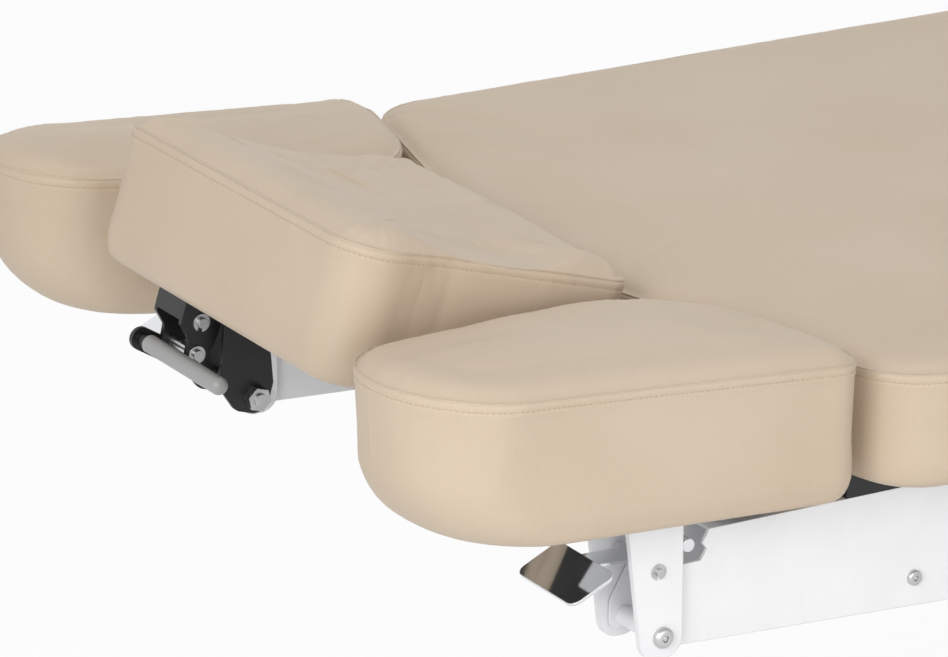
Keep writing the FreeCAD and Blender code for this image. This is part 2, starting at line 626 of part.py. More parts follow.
def make_armrests():
    """Both armrests: the left one is drawn and the right one is its mirror image."""
    plan = [(BACK_HEAD_X + x, HALF_WIDTH - inset, radius) for x, inset, radius in ARMREST_PLAN]
    insets = [BOARD_INSET, BOARD_INSET, ARMREST_NOSE_ROLL + ARMREST_BOARD_EDGE, BOARD_INSET]
    plate = tipped(board(plan, insets, ARMREST_BOTTOM_Z, BOARD_THICKNESS))
    levels = pad_levels(ARMREST_SEAM, ARMREST_CROWN, ARMREST_CROWN_RUN, ARMREST_UNDERCUT)
    cushion = pad(plan, levels, ARMREST_BOTTOM_Z, rolls={2: ARMREST_NOSE_ROLL},
                  tilts=(ARMREST_BASE_TILT, ARMREST_TILT), level_x=ARMREST_LEVEL_X).cut(plate)
    save_pair("armrest_SIDE_cushion", cushion)
    save_pair("armrest_SIDE_board", plate)
    make_bracket()
    make_lever()


def make_bracket():
    """White clevis bracket on each side arm, its pivot bolt with nut and its lever pin with clips."""
    top_z = ARMREST_BOTTOM_Z - BRACKET_T
    outside = CLEVIS_OUTER_Y + BRACKET_T
    inside = CLEVIS_INNER_Y - BRACKET_T
    lobe_r = PIVOT_LOBE_R - RUNNING_CLEARANCE
    slope = math.tan(math.radians(ARMREST_BASE_TILT))
    cheek_head_x, cheek_foot_x = PIVOT_X - BRACKET_TOP_HEAD, PIVOT_X + PIVOT_LOBE_R
    cheek_z = ARMREST_BOTTOM_Z - BRACKET_T / 2
    profile = [(PIVOT_X - PIVOT_LOBE_R, PIVOT_Z - PIVOT_LOBE_R, lobe_r - 2),
               (cheek_foot_x, PIVOT_Z - PIVOT_LOBE_R, lobe_r - 1),
               (cheek_foot_x, cheek_z - slope * (cheek_foot_x - ARMREST_LEVEL_X), 0.5),
               (cheek_head_x, cheek_z - slope * (cheek_head_x - ARMREST_LEVEL_X), 0.5)]
    bracket = tipped(box(PIVOT_X - BRACKET_FLANGE_HEAD, PIVOT_X + BRACKET_FLANGE_FOOT, inside, outside, top_z,
                         ARMREST_BOTTOM_Z))
    for y0 in (inside, CLEVIS_OUTER_Y):
        bracket = bracket.fuse(plate_xz(profile, y0, y0 + BRACKET_T))
    for radius, x, z in ((PIVOT_BOLT_R, PIVOT_X, PIVOT_Z), (LEVER_PIN_R, LEVER_PIN_X, LEVER_PIN_Z)):
        bracket = bracket.cut(rod_y(radius + RUNNING_CLEARANCE, x, z, inside, outside))
    save_pair("armrest_SIDE_bracket", bracket.removeSplitter())
    head = rod_y(BOLT_HEAD_R, PIVOT_X, PIVOT_Z, outside, outside + BOLT_HEAD_H)
    rim = [edge for edge in head.Edges if edge.BoundBox.YMin > outside + BOLT_HEAD_H / 2]
    head = head.makeFillet(BOLT_HEAD_H * 0.7, rim)
    bolt = head.fuse(rod_y(PIVOT_BOLT_R, PIVOT_X, PIVOT_Z, inside - PIVOT_NUT_H - CLIP_T, outside)).removeSplitter()
    bolt = bolt.cut(hex_prism(HEX_SOCKET, PIVOT_X, PIVOT_Z, outside + BOLT_HEAD_H / 3, outside + BOLT_HEAD_H))
    save_pair("armrest_SIDE_pivot_bolt",
              [bolt, nut(PIVOT_BOLT_R, PIVOT_NUT_FLATS, PIVOT_X, PIVOT_Z, inside - PIVOT_NUT_H, inside)])
    pin = rod_y(LEVER_PIN_R, LEVER_PIN_X, LEVER_PIN_Z, inside - 3 * CLIP_T, outside + 3 * CLIP_T)
    save_pair("armrest_SIDE_lever_pin", [pin, spring_clip(LEVER_PIN_R, LEVER_PIN_X, LEVER_PIN_Z, outside),
                                         spring_clip(LEVER_PIN_R, LEVER_PIN_X, LEVER_PIN_Z, inside - CLIP_T)])


def make_lever():
    """Chromed paddle sloping down to the head end, with its stem, hub, pawl arm and pawl bar in one piece."""
    near_y, far_y = ARM_MID_Y - PADDLE_WIDTH / 2, ARM_MID_Y + PADDLE_WIDTH / 2
    blade = plate_xy([(-PADDLE_LENGTH, near_y, PADDLE_CORNER_R), (0, near_y, PADDLE_CORNER_R),
                      (0, far_y, PADDLE_CORNER_R), (-PADDLE_LENGTH, far_y, PADDLE_CORNER_R)], 0, PADDLE_SHEET)
    root = Vector(LEVER_PIN_X - PADDLE_AHEAD, 0, LEVER_PIN_Z + PADDLE_RISE)
    blade.Placement = Placement(root, Rotation(Vector(0, 1, 0), -PADDLE_SLOPE))
    stem = sheet_xz([(root.x - 4, root.z - 1.5), (LEVER_PIN_X, LEVER_PIN_Z + LEVER_PIN_R + PADDLE_SHEET / 2 - 1.5),
                     (LEVER_PIN_X, LEVER_PIN_Z + LEVER_HUB_R), (root.x - 4, root.z + 0.5)],
                    ARM_MID_Y - STEM_WIDTH / 2, ARM_MID_Y + STEM_WIDTH / 2)
    pawl_x, pawl_z = LEVER_PIN_X + PAWL_BACK, LEVER_PIN_Z + PAWL_UP
    pawl = stadium(Vector(LEVER_PIN_X, 0, LEVER_PIN_Z), Vector(pawl_x, 0, pawl_z), PAWL_BAR_R - 1,
                   ARM_MID_Y - PAWL_WIDTH / 2, ARM_MID_Y + PAWL_WIDTH / 2)
    bar = rod_y(PAWL_BAR_R, pawl_x, pawl_z, ARM_MID_Y - PAWL_BAR_WIDTH / 2, ARM_MID_Y + PAWL_BAR_WIDTH / 2)
    hub = rod_y(LEVER_HUB_R, LEVER_PIN_X, LEVER_PIN_Z, ARM_MID_Y - LEVER_HUB_WIDTH / 2, ARM_MID_Y + LEVER_HUB_WIDTH / 2)
    lever = blade.fuse(stem).fuse(hub).fuse(pawl).fuse(bar)
    lever = lever.cut(rod_y(LEVER_PIN_R + RUNNING_CLEARANCE, LEVER_PIN_X, LEVER_PIN_Z, 0, BED_WIDTH))
    save_pair("armrest_SIDE_lever", lever.removeSplitter())


# The headrest's frame: its origin is on the seam at the middle of its head end
HEAD_FRAME = Placement(Vector(BACK_HEAD_X - HEAD_BEYOND, 0, HEAD_SEAM_Z), Rotation(Vector(0, 1, 0), HEAD_TILT))
HEAD_BASE = -HEAD_SEAM
HEAD_PIN_U = HEAD_LENGTH + HEAD_PIN_BEYOND
HEAD_PIN_W = HEAD_BASE - HEAD_PIN_DROP
HEAD_PIN = HEAD_FRAME.multVec(Vector(HEAD_PIN_U, 0, HEAD_PIN_W))


def save_tilted(name, shapes):
    """Saves shapes drawn in the headrest's frame where they stand on the bed."""
    placed = []
    for shape in solids_of(shapes):
        copy = shape.copy()
        copy.Placement = HEAD_FRAME.multiply(copy.Placement)
        placed.append(copy)
    save(name, placed)


def make_headrest():
    """Headrest cushion with its shallow face valley, board, hinge straps and hinge pin."""
    plan = [(0, -HEAD_HALF, HEAD_CORNER_R), (HEAD_WAIST_U, -HEAD_WAIST_HALF, HEAD_WAIST_R),
            (HEAD_LENGTH, -HEAD_NECK_HALF, HEAD_NECK_R), (HEAD_LENGTH, HEAD_NECK_HALF, HEAD_NECK_R),
            (HEAD_WAIST_U, HEAD_WAIST_HALF, HEAD_WAIST_R), (0, HEAD_HALF, HEAD_CORNER_R)]
    plate = board(plan, [HEAD_BOARD_INSET] * len(plan), HEAD_BASE, HEAD_BOARD_T)
    cushion = pad(plan, pad_levels(HEAD_SEAM, HEAD_CROWN, HEAD_CROWN_RUN), HEAD_BASE).cut(plate)
    cushion = cushion.cut(rod_y(VALLEY_R, VALLEY_U, VALLEY_R, -BED_WIDTH, BED_WIDTH))
    save_tilted("headrest_cushion", cushion)
    save_tilted("headrest_board", plate)
    strap = plate_xz([(STRAP_FROM, HEAD_BASE, 1.0), (STRAP_FROM + 10, HEAD_PIN_W, 4.0),
                      (HEAD_PIN_U - STRAP_EYE, HEAD_PIN_W - STRAP_EYE, 4.0),
                      (HEAD_PIN_U + STRAP_EYE, HEAD_PIN_W - STRAP_EYE, 11.0),
                      (HEAD_PIN_U + STRAP_EYE, HEAD_PIN_W + STRAP_EYE, 11.0),
                      (HEAD_PIN_U - STRAP_EYE, HEAD_PIN_W + STRAP_EYE, 4.0),
                      (HEAD_LENGTH - 20, HEAD_BASE, 4.0)], STRAP_Y, STRAP_Y + STRAP_T)
    strap = strap.cut(rod_y(HEAD_PIN_R + RUNNING_CLEARANCE, HEAD_PIN_U, HEAD_PIN_W, 0, BED_WIDTH))
    save_tilted("headrest_hinge_straps", both_sides(strap))
    pin_half = STRAP_Y + STRAP_T + HEAD_PIN_R
    save_tilted("headrest_hinge_pin", rod_y(HEAD_PIN_R, HEAD_PIN_U, HEAD_PIN_W, -pin_half, pin_half))


def make_release():
    """Black release bracket with its pins, zinc mount bar, release plates, bolt, lever and grey grip."""
    front, back = RELEASE_FRONT, RELEASE_BACK
    low = HEAD_BASE - RELEASE_DEPTH
    cheek = [(front, HEAD_BASE, 0.5), (front, HEAD_BASE - 21, 3.0), (front + 10, HEAD_BASE - 31, 3.0), (front + 12, low, 6.0),
             (back - 6, low, 6.0), (back, HEAD_BASE - 24, 4.0), (back, HEAD_BASE, 0.5)]
    bracket = box(front, back, RELEASE_NEAR_Y, RELEASE_FAR_Y, HEAD_BASE - RELEASE_SHEET, HEAD_BASE)
    bracket = bracket.fuse(box(front, front + RELEASE_SHEET, RELEASE_NEAR_Y, RELEASE_FAR_Y, HEAD_BASE - 18, HEAD_BASE))
    for y0 in (RELEASE_NEAR_Y, RELEASE_FAR_Y - RELEASE_SHEET):
        bracket = bracket.fuse(plate_xz(cheek, y0, y0 + RELEASE_SHEET))
    pins = []
    for u, drop in (UPPER_PIN, LOWER_PIN):
        w = HEAD_BASE - drop
        bracket = bracket.cut(rod_y(RELEASE_PIN_R + RUNNING_CLEARANCE, u, w, RELEASE_NEAR_Y, RELEASE_FAR_Y))
        pins.append(rod_y(RELEASE_PIN_R, u, w, RELEASE_NEAR_Y - RELEASE_PIN_R, RELEASE_FAR_Y + 2 * CLIP_T))
        pins.append(spring_clip(RELEASE_PIN_R, u, w, RELEASE_NEAR_Y - CLIP_T))
        pins.append(spring_clip(RELEASE_PIN_R, u, w, RELEASE_FAR_Y))
    save_tilted("headrest_bracket", bracket.removeSplitter())
    save_tilted("bracket_pins", pins)
    plate_top = HEAD_BASE - MOUNT_BAR_SIDE
    save_tilted("headrest_mount_bar", box(MOUNT_BAR_U, MOUNT_BAR_U + MOUNT_BAR_SIDE, MOUNT_BAR_NEAR_Y, MOUNT_BAR_FAR_Y,
                                          plate_top, HEAD_BASE))
    bolt_u, bolt_w = RELEASE_BOLT_U, HEAD_BASE - RELEASE_BOLT_DROP
    edge_u = bolt_u + RELEASE_LOBE_R
    step_from, step_to = [plate_top - drop for drop in RELEASE_PLATE_STEP]
    plate = [(MOUNT_BAR_U - 7, plate_top, 2.0), (MOUNT_BAR_U, step_from, 4.0), (MOUNT_BAR_U, step_to, 4.0),
             (bolt_u - RELEASE_LOBE_R, bolt_w - RELEASE_LOBE_R, 10.0), (edge_u, bolt_w - RELEASE_LOBE_R, 12.0),
             (edge_u, bolt_w + RELEASE_LOBE_R, 4.0), (edge_u - 15, plate_top, 2.0)]
    bolt_hole = rod_y(RELEASE_BOLT_R + RUNNING_CLEARANCE, bolt_u, bolt_w, 0, BED_WIDTH)
    plates = [plate_xz(plate, y0, y0 + RELEASE_SHEET).cut(bolt_hole) for y0 in (NEAR_PLATE_Y, FAR_PLATE_Y)]
    save_tilted("release_plates", plates)
    lever_y = FAR_PLATE_Y + RELEASE_SHEET + SIDE_CLEARANCE
    head_y = lever_y + RELEASE_LEVER_T + SIDE_CLEARANCE / 2
    bolt = rod_y(RELEASE_BOLT_R, bolt_u, bolt_w, NEAR_PLATE_Y - RELEASE_NUT_H - 2, head_y)
    bolt = bolt.fuse(hex_prism(RELEASE_NUT_FLATS, bolt_u, bolt_w, head_y, head_y + 1.3 * RELEASE_BOLT_R))
    release_nut = nut(RELEASE_BOLT_R, RELEASE_NUT_FLATS, bolt_u, bolt_w, NEAR_PLATE_Y - RELEASE_NUT_H, NEAR_PLATE_Y)
    save_tilted("release_bolt", [bolt.removeSplitter(), release_nut])
    handle_w = HEAD_BASE - HANDLE_DROP
    lever = stadium(Vector(HANDLE_U, 0, handle_w), Vector(bolt_u, 0, bolt_w), RELEASE_LOBE_R - RELEASE_SHEET, lever_y,
                    lever_y + RELEASE_LEVER_T)
    lever = lever.cut(bolt_hole)
    lever = lever.fuse(rod_y(HANDLE_R, HANDLE_U, handle_w, GRIP_NEAR_Y + GRIP_R, lever_y + RELEASE_LEVER_T + HANDLE_R))
    save_tilted("release_lever", lever.removeSplitter())
    grip = rod_y(GRIP_R, HANDLE_U, handle_w, GRIP_NEAR_Y, GRIP_FAR_Y)
    near_rim = [edge for edge in grip.Edges if edge.BoundBox.YMax < GRIP_NEAR_Y + 1]
    grip = grip.makeFillet(GRIP_R * 0.8, near_rim)
    far_rim = [edge for edge in grip.Edges if edge.BoundBox.YMin > GRIP_FAR_Y - 1]
    grip = grip.makeChamfer(SIDE_CLEARANCE, far_rim)
    bore = rod_y(HANDLE_R + RUNNING_CLEARANCE, HANDLE_U, handle_w, GRIP_NEAR_Y + GRIP_R, GRIP_FAR_Y)
    save_tilted("release_grip", grip.cut(bore))


def make_chassis():
    """Seat rails with hinge lugs, hinge pins, and the actuators in their saddles."""
    rail_from = HEAD_COLUMN_X - HEAD_PLATE_LENGTH / 2
    rail_to = LEG_HINGE_X - RAIL_TAIL_AHEAD
    rail_end = rail_to + RAIL_TAIL_SLANT
    step_x, step_z = BACK_HINGE_X + RAIL_STEP_BACK, PAD_BOTTOM_Z - RAIL_STEP_DOWN
    side = [(rail_from, RAIL_BOTTOM_Z), (rail_end, RAIL_BOTTOM_Z), (rail_to, PAD_BOTTOM_Z), (step_x, PAD_BOTTOM_Z),
            (step_x, step_z), (rail_from, step_z)]
    rail = sheet_xz(side, RAIL_INNER_Y, RAIL_OUTER_Y)
    bore_low_y, bore_high_y = RAIL_INNER_Y + RAIL_WALL, RAIL_OUTER_Y - RAIL_WALL
    rail = rail.cut(box(rail_from, rail_end, bore_low_y, bore_high_y, RAIL_BOTTOM_Z + RAIL_WALL, step_z - RAIL_WALL))
    rail = rail.cut(box(step_x + RAIL_WALL, rail_end, bore_low_y, bore_high_y, RAIL_BOTTOM_Z + RAIL_WALL,
                        PAD_BOTTOM_Z - RAIL_WALL))
    pins = []
    for hinge_x, way in ((BACK_HINGE_X, 1.0), (LEG_HINGE_X, -1.0)):
        ear = rod_y(HINGE_LUG_R, hinge_x, HINGE_Z, CHASSIS_LUG_Y, RAIL_OUTER_Y)
        lean = HINGE_LUG_R * math.sqrt(0.5)
        web = [(hinge_x + way * LUG_NEAR, PAD_BOTTOM_Z - RAIL_WALL), (hinge_x + way * LUG_FAR, PAD_BOTTOM_Z - RAIL_WALL),
               (hinge_x + way * LUG_FAR, PAD_BOTTOM_Z), (hinge_x + way * lean, HINGE_Z + lean),
               (hinge_x - way * lean, HINGE_Z - lean), (hinge_x + way * LUG_NEAR, PAD_BOTTOM_Z)]
        rail = rail.fuse(ear).fuse(sheet_xz(web, CHASSIS_LUG_Y, RAIL_OUTER_Y))
        rail = rail.cut(rod_y(HINGE_PIN_R + RUNNING_CLEARANCE, hinge_x, HINGE_Z, CHASSIS_LUG_Y, RAIL_OUTER_Y))
        pins += both_sides(rod_y(HINGE_PIN_R, hinge_x, HINGE_Z, CHASSIS_LUG_Y - 2 * SIDE_CLEARANCE,
                                 ARM_INNER_Y + SECTION_LUG_T + 2 * SIDE_CLEARANCE))
    save("chassis_rails", both_sides(rail.removeSplitter()))
    save("section_hinge_pins", pins)
    make_actuator("back", ACTUATOR_Y, BACK_TUBE, BACK_HINGE_X + CRANK_REACH, BACK_ROD_INSIDE, 1.0)
    make_actuator("leg", -ACTUATOR_Y, LEG_TUBE, LEG_HINGE_X + CRANK_REACH, LEG_ROD_INSIDE, -1.0)
    saddles = []
    for mid_y in (ACTUATOR_Y, -ACTUATOR_Y):
        saddle = box(SADDLE_X, SADDLE_X + SADDLE_LENGTH, mid_y - SADDLE_WIDTH / 2, mid_y + SADDLE_WIDTH / 2,
                     RAIL_BOTTOM_Z, ACTUATOR_Z + TUBE_R + RAIL_WALL)
        saddles.append(saddle.cut(rod_x(TUBE_R + RUNNING_CLEARANCE, mid_y, ACTUATOR_Z, SADDLE_X,
                                        SADDLE_X + SADDLE_LENGTH)))
    save("actuator_saddles", saddles)


def make_actuator(name, mid_y, span, pin_x, rod_short, way):
    """Tube, gearmotor and rod of an actuator along X; way points from its rod's eye back to its tube."""
    tube = rod_x(TUBE_R, mid_y, ACTUATOR_Z, span[0], span[1])
    save(name + "_actuator", tube.cut(rod_x(ROD_R + RUNNING_CLEARANCE, mid_y, ACTUATOR_Z, span[0], span[1])))
    tail = span[1] if way > 0 else span[0]
    far = tail + way * GEARBOX_LENGTH
    motor_x = far if way > 0 else (tail + far) / 2
    gearbox = box(min(tail, far), max(tail, far), mid_y - GEARBOX_SIDE / 2, mid_y + GEARBOX_SIDE / 2,
                  ACTUATOR_Z - MOTOR_R, ACTUATOR_Z + MOTOR_R)
    motor = rod_z(MOTOR_R, motor_x, mid_y, MOTOR_BOTTOM_Z, ACTUATOR_Z + MOTOR_R)
    rim = [edge for edge in motor.Edges if edge.BoundBox.ZMax < MOTOR_BOTTOM_Z + 1]
    save(name + "_motor", gearbox.fuse(motor.makeFillet(MOTOR_R / 6, rim)).removeSplitter())
    neck = pin_x + way * EYE_NECK
    root = tail - way * rod_short
    rod = rod_x(ROD_R, mid_y, ACTUATOR_Z, min(neck, root), max(neck, root))
    half = EYE_WIDTH / 2
    rod = rod.fuse(box(min(pin_x, neck), max(pin_x, neck), mid_y - half, mid_y + half, ACTUATOR_Z - ROD_R,
                       ACTUATOR_Z + ROD_R).common(rod_x(ROD_R, mid_y, ACTUATOR_Z, min(pin_x, neck), max(pin_x, neck))))
    rod = rod.fuse(rod_y(EYE_R, pin_x, ACTUATOR_Z, mid_y - half, mid_y + half))
    rod = rod.fuse(rod_y(CROSSHEAD_PIN_R, pin_x, ACTUATOR_Z, mid_y - CROSSHEAD_PIN_HALF, mid_y + CROSSHEAD_PIN_HALF))
    save(name + "_actuator_rod", rod.removeSplitter())


def make_leg_frame():
    """Leg section's side rails with hinge lugs, and its cross tube with the crank."""
    bottom = PAD_BOTTOM_Z - LEG_RAIL_DEPTH
    rail_from, rail_to = LEG_HINGE_X + LEG_RAIL_FROM, LEG_FOOT_X - LEG_RAIL_SHORT
    rail = tube_box(rail_from, rail_to, LEG_RAIL_Y, LEG_RAIL_Y + RAIL_WIDTH, bottom, PAD_BOTTOM_Z, RAIL_WALL, "x")
    lean = HINGE_LUG_R * math.sqrt(0.5)
    web = [(LEG_HINGE_X - lean, HINGE_Z - lean), (rail_from, bottom), (LEG_HINGE_X + LEG_LUG_TO, bottom),
           (LEG_HINGE_X + LEG_LUG_TO, PAD_BOTTOM_Z), (LEG_HINGE_X + lean, HINGE_Z + lean)]
    lug = sheet_xz(web, ARM_INNER_Y, ARM_INNER_Y + SECTION_LUG_T)
    lug = lug.fuse(rod_y(HINGE_LUG_R, LEG_HINGE_X, HINGE_Z, ARM_INNER_Y, ARM_INNER_Y + SECTION_LUG_T))
    rail = rail.fuse(lug).cut(rod_y(HINGE_PIN_R + RUNNING_CLEARANCE, LEG_HINGE_X, HINGE_Z, 0, BED_WIDTH))
    save("legrest_rails", both_sides(rail.removeSplitter()))
    tube_x = LEG_HINGE_X + LEG_TUBE_FROM
    tube = tube_box(tube_x, tube_x + LEG_TUBE_WIDTH, -LEG_RAIL_Y, LEG_RAIL_Y, bottom, PAD_BOTTOM_Z, RAIL_WALL, "y")
    for plate in crank_plates(LEG_HINGE_X, tube_x, -ACTUATOR_Y):
        tube = tube.fuse(plate)
    save("legrest_cross_tube", tube.removeSplitter())


def column_tube(x, stage, z0, z1, wall):
    """One stage of a lifting column: 0 outer, 1 middle, 2 inner."""
    shrink = stage * (COLUMN_WALL + COLUMN_GAP)
    half_x, half_y = COLUMN_LENGTH / 2 - shrink, COLUMN_WIDTH / 2 - shrink
    return tube_box(x - half_x, x + half_x, -half_y, half_y, z0, z1, wall, "z")


def column_glide(x, stage, top):
    """Plastic ring between a column stage and the next one inside it."""
    shrink = stage * (COLUMN_WALL + COLUMN_GAP) + COLUMN_WALL
    half_x, half_y = COLUMN_LENGTH / 2 - shrink, COLUMN_WIDTH / 2 - shrink
    return tube_box(x - half_x, x + half_x, -half_y, half_y, top - GLIDE_HEIGHT, top, COLUMN_GAP - GLIDE_CLEARANCE, "z")


def make_columns():
    """Two telescopic lifting columns with their glides, drives and flange bolts."""
    outers, middles, inners, outer_glides, middle_glides, drives, push_rods, bolts = [], [], [], [], [], [], [], []
    middle_top = COLUMN_OUTER_TOP_Z + COLUMN_RISE
    for x in (HEAD_COLUMN_X, FOOT_COLUMN_X):
        flange = box(x - FLANGE_LENGTH / 2, x + FLANGE_LENGTH / 2, -BASE_OUTER_Y, BASE_OUTER_Y, BASE_TOP_Z, FLANGE_TOP_Z)
        outers.append(flange.fuse(column_tube(x, 0, FLANGE_TOP_Z, COLUMN_OUTER_TOP_Z, COLUMN_WALL)))
        middles.append(column_tube(x, 1, FLANGE_TOP_Z + COLUMN_FLOOR_GAP, middle_top, COLUMN_WALL))
        inner = column_tube(x, 2, FLANGE_TOP_Z + 2 * COLUMN_FLOOR_GAP, HEAD_PLATE_Z, COLUMN_WALL)
        half = HEAD_PLATE_LENGTH / 2
        inners.append(inner.fuse(box(x - half, x + half, -RAIL_OUTER_Y, RAIL_OUTER_Y, HEAD_PLATE_Z, RAIL_BOTTOM_Z)))
        outer_glides.append(column_glide(x, 0, COLUMN_OUTER_TOP_Z))
        middle_glides.append(column_glide(x, 1, middle_top))
        length, width, height = DRIVE_MOTOR
        drive = box(x - length / 2, x + length / 2, -width / 2, width / 2, FLANGE_TOP_Z, FLANGE_TOP_Z + height)
        drive = drive.fuse(rod_z(DRIVE_TUBE_R, x, 0, FLANGE_TOP_Z, DRIVE_TOP_Z))
        drives.append(drive.cut(rod_z(DRIVE_ROD_R + RUNNING_CLEARANCE, x, 0, FLANGE_TOP_Z + FLANGE_T, DRIVE_TOP_Z)))
        push_rods.append(rod_z(DRIVE_ROD_R, x, 0, DRIVE_ROD_BOTTOM_Z, HEAD_PLATE_Z))
        for bolt_x in (x - FLANGE_LENGTH / 2 + FLANGE_BOLT_INSET, x + FLANGE_LENGTH / 2 - FLANGE_BOLT_INSET):
            head = rod_z(FLANGE_BOLT_R, bolt_x, BASE_RAIL_Y + BASE_RAIL_WIDTH / 2, FLANGE_TOP_Z,
                         FLANGE_TOP_Z + FLANGE_BOLT_H)
            bolts += both_sides(head)
    save("column_outers", [outer.removeSplitter() for outer in outers])
    save("column_middles", middles)
    save("column_inners", [inner.removeSplitter() for inner in inners])
    save("outer_glides", outer_glides)
    save("middle_glides", middle_glides)
    save("lift_drives", [drive.removeSplitter() for drive in drives])
    save("lift_push_rods", push_rods)
    save("column_bolts", bolts)


def make_base():
    """Floor frame with levelling feet, control box and mains inlet."""
    rail = tube_box(-BASE_RAIL_HALF, BASE_RAIL_HALF, BASE_RAIL_Y, BASE_OUTER_Y, FOOT_HEIGHT, BASE_TOP_Z, BASE_WALL, "x")
    save("base_rails", both_sides(rail))
    crosses, caps, feet = [], [], []
    for x in (-BASE_RAIL_HALF - CROSS_WIDTH, BASE_RAIL_HALF):
        crosses.append(tube_box(x, x + CROSS_WIDTH, -CROSS_HALF, CROSS_HALF, FOOT_HEIGHT, BASE_TOP_Z, BASE_WALL, "y"))
        caps += both_sides(box(x, x + CROSS_WIDTH, CROSS_HALF, CROSS_HALF + CAP_T, FOOT_HEIGHT, BASE_TOP_Z))
        foot = rod_z(FOOT_PAD_R, x + CROSS_WIDTH / 2, FOOT_Y, 0, FOOT_PAD_H)
        top_rim = [edge for edge in foot.Edges if edge.BoundBox.ZMin > FOOT_PAD_H / 2]
        foot = foot.makeChamfer(FOOT_PAD_H / 3, top_rim)
        feet += both_sides(foot.fuse(rod_z(FOOT_STEM_R, x + CROSS_WIDTH / 2, FOOT_Y, FOOT_PAD_H, FOOT_HEIGHT)))
    save("base_cross_tubes", crosses)
    save("base_end_caps", caps)
    save("levelling_feet", [foot.removeSplitter() for foot in feet])
    case = box(BOX_MID_X - BOX_HALF_LENGTH, BOX_MID_X + BOX_HALF_LENGTH, -BASE_OUTER_Y, BASE_OUTER_Y, BASE_TOP_Z,
               BASE_TOP_Z + BOX_HEIGHT)
    upper = [edge for edge in case.Edges if edge.BoundBox.ZMin > BASE_TOP_Z + BOX_HEIGHT - 1]
    case = case.makeFillet(BOX_EDGE_R, upper)
    inlet_z = BASE_TOP_Z + BOX_HEIGHT / 2
    body_half_x, body_half_z = INLET_LENGTH / 2 - INLET_FLANGE, INLET_HEIGHT / 2 - INLET_FLANGE / 4
    body = box(BOX_MID_X - body_half_x, BOX_MID_X + body_half_x, BASE_OUTER_Y - INLET_DEPTH, BASE_OUTER_Y,
               inlet_z - body_half_z, inlet_z + body_half_z)
    save("control_box", case.cut(body))
    inlet = body.fuse(box(BOX_MID_X - INLET_LENGTH / 2, BOX_MID_X + INLET_LENGTH / 2, BASE_OUTER_Y,
                          BASE_OUTER_Y + INLET_FLANGE, inlet_z - INLET_HEIGHT / 2, inlet_z + INLET_HEIGHT / 2))
    mouth_y = BASE_OUTER_Y + INLET_FLANGE
    inlet = inlet.cut(box(BOX_MID_X - INLET_OPENING[0] / 2, BOX_MID_X + INLET_OPENING[0] / 2, mouth_y - INLET_RECESS,
                          mouth_y, inlet_z - INLET_OPENING[1] / 2, inlet_z + INLET_OPENING[1] / 2))
    for aside, pin_z in ((-7.0, -2.0), (0.0, 2.0), (7.0, -2.0)):
        pin_x = BOX_MID_X + aside
        inlet = inlet.fuse(box(pin_x - 1, pin_x + 1, mouth_y - INLET_RECESS, mouth_y - INLET_RECESS / 2, inlet_z + pin_z - 3,
                               inlet_z + pin_z + 3))
    save("mains_inlet", inlet.removeSplitter())


make_sections()
make_arms()
make_beams()
make_armrests()
make_headrest()
make_release()
make_chassis()
make_leg_frame()
make_columns()
make_base()
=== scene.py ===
"""Electric facial bed: leatherette cushions, materials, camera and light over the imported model, in metres."""
import json
import math

import bmesh
import bpy
from mathutils import Matrix, Vector, noise


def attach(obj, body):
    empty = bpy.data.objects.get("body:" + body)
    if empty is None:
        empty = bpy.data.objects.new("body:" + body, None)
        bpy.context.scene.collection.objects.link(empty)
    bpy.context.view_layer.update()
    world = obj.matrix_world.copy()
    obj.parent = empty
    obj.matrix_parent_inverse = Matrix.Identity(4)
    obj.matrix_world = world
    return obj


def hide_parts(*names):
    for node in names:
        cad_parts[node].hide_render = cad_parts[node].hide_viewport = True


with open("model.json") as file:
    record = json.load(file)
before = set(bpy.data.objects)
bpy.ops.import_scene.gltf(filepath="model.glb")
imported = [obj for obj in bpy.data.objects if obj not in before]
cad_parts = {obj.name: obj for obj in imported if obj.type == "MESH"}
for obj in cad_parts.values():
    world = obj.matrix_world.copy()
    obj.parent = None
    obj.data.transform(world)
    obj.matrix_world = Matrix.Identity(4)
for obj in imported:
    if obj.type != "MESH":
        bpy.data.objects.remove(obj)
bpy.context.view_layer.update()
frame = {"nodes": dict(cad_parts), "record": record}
nodes = frame["nodes"]
scene = bpy.context.scene
MM = 0.001


# Materials
def new_material(name):
    mat = bpy.data.materials.new(name)
    mat.use_nodes = True
    tree = mat.node_tree
    return mat, tree, tree.nodes["Principled BSDF"]


def add(tree, kind, **settings):
    node = tree.nodes.new(kind)
    for key, value in settings.items():
        if key in node.inputs:
            node.inputs[key].default_value = value
        else:
            setattr(node, key, value)
    return node


def ramp(tree, source, low, high, at_low, at_high):
    """A colour ramp from one colour to another between two positions of a source value."""
    node = tree.nodes.new("ShaderNodeValToRGB")
    node.color_ramp.elements[0].position = low
    node.color_ramp.elements[0].color = at_low
    node.color_ramp.elements[1].position = high
    node.color_ramp.elements[1].color = at_high
    tree.links.new(source, node.inputs["Fac"])
    return node.outputs["Color"]


def grey(level):
    return (level, level, level, 1.0)


def linear(red, green, blue):
    """Screen colour values of 0 to 255 as linear colour."""
    def channel(value):
        value /= 255.0
        return value / 12.92 if value <= 0.04045 else ((value + 0.055) / 1.055) ** 2.4
    return (channel(red), channel(green), channel(blue), 1.0)


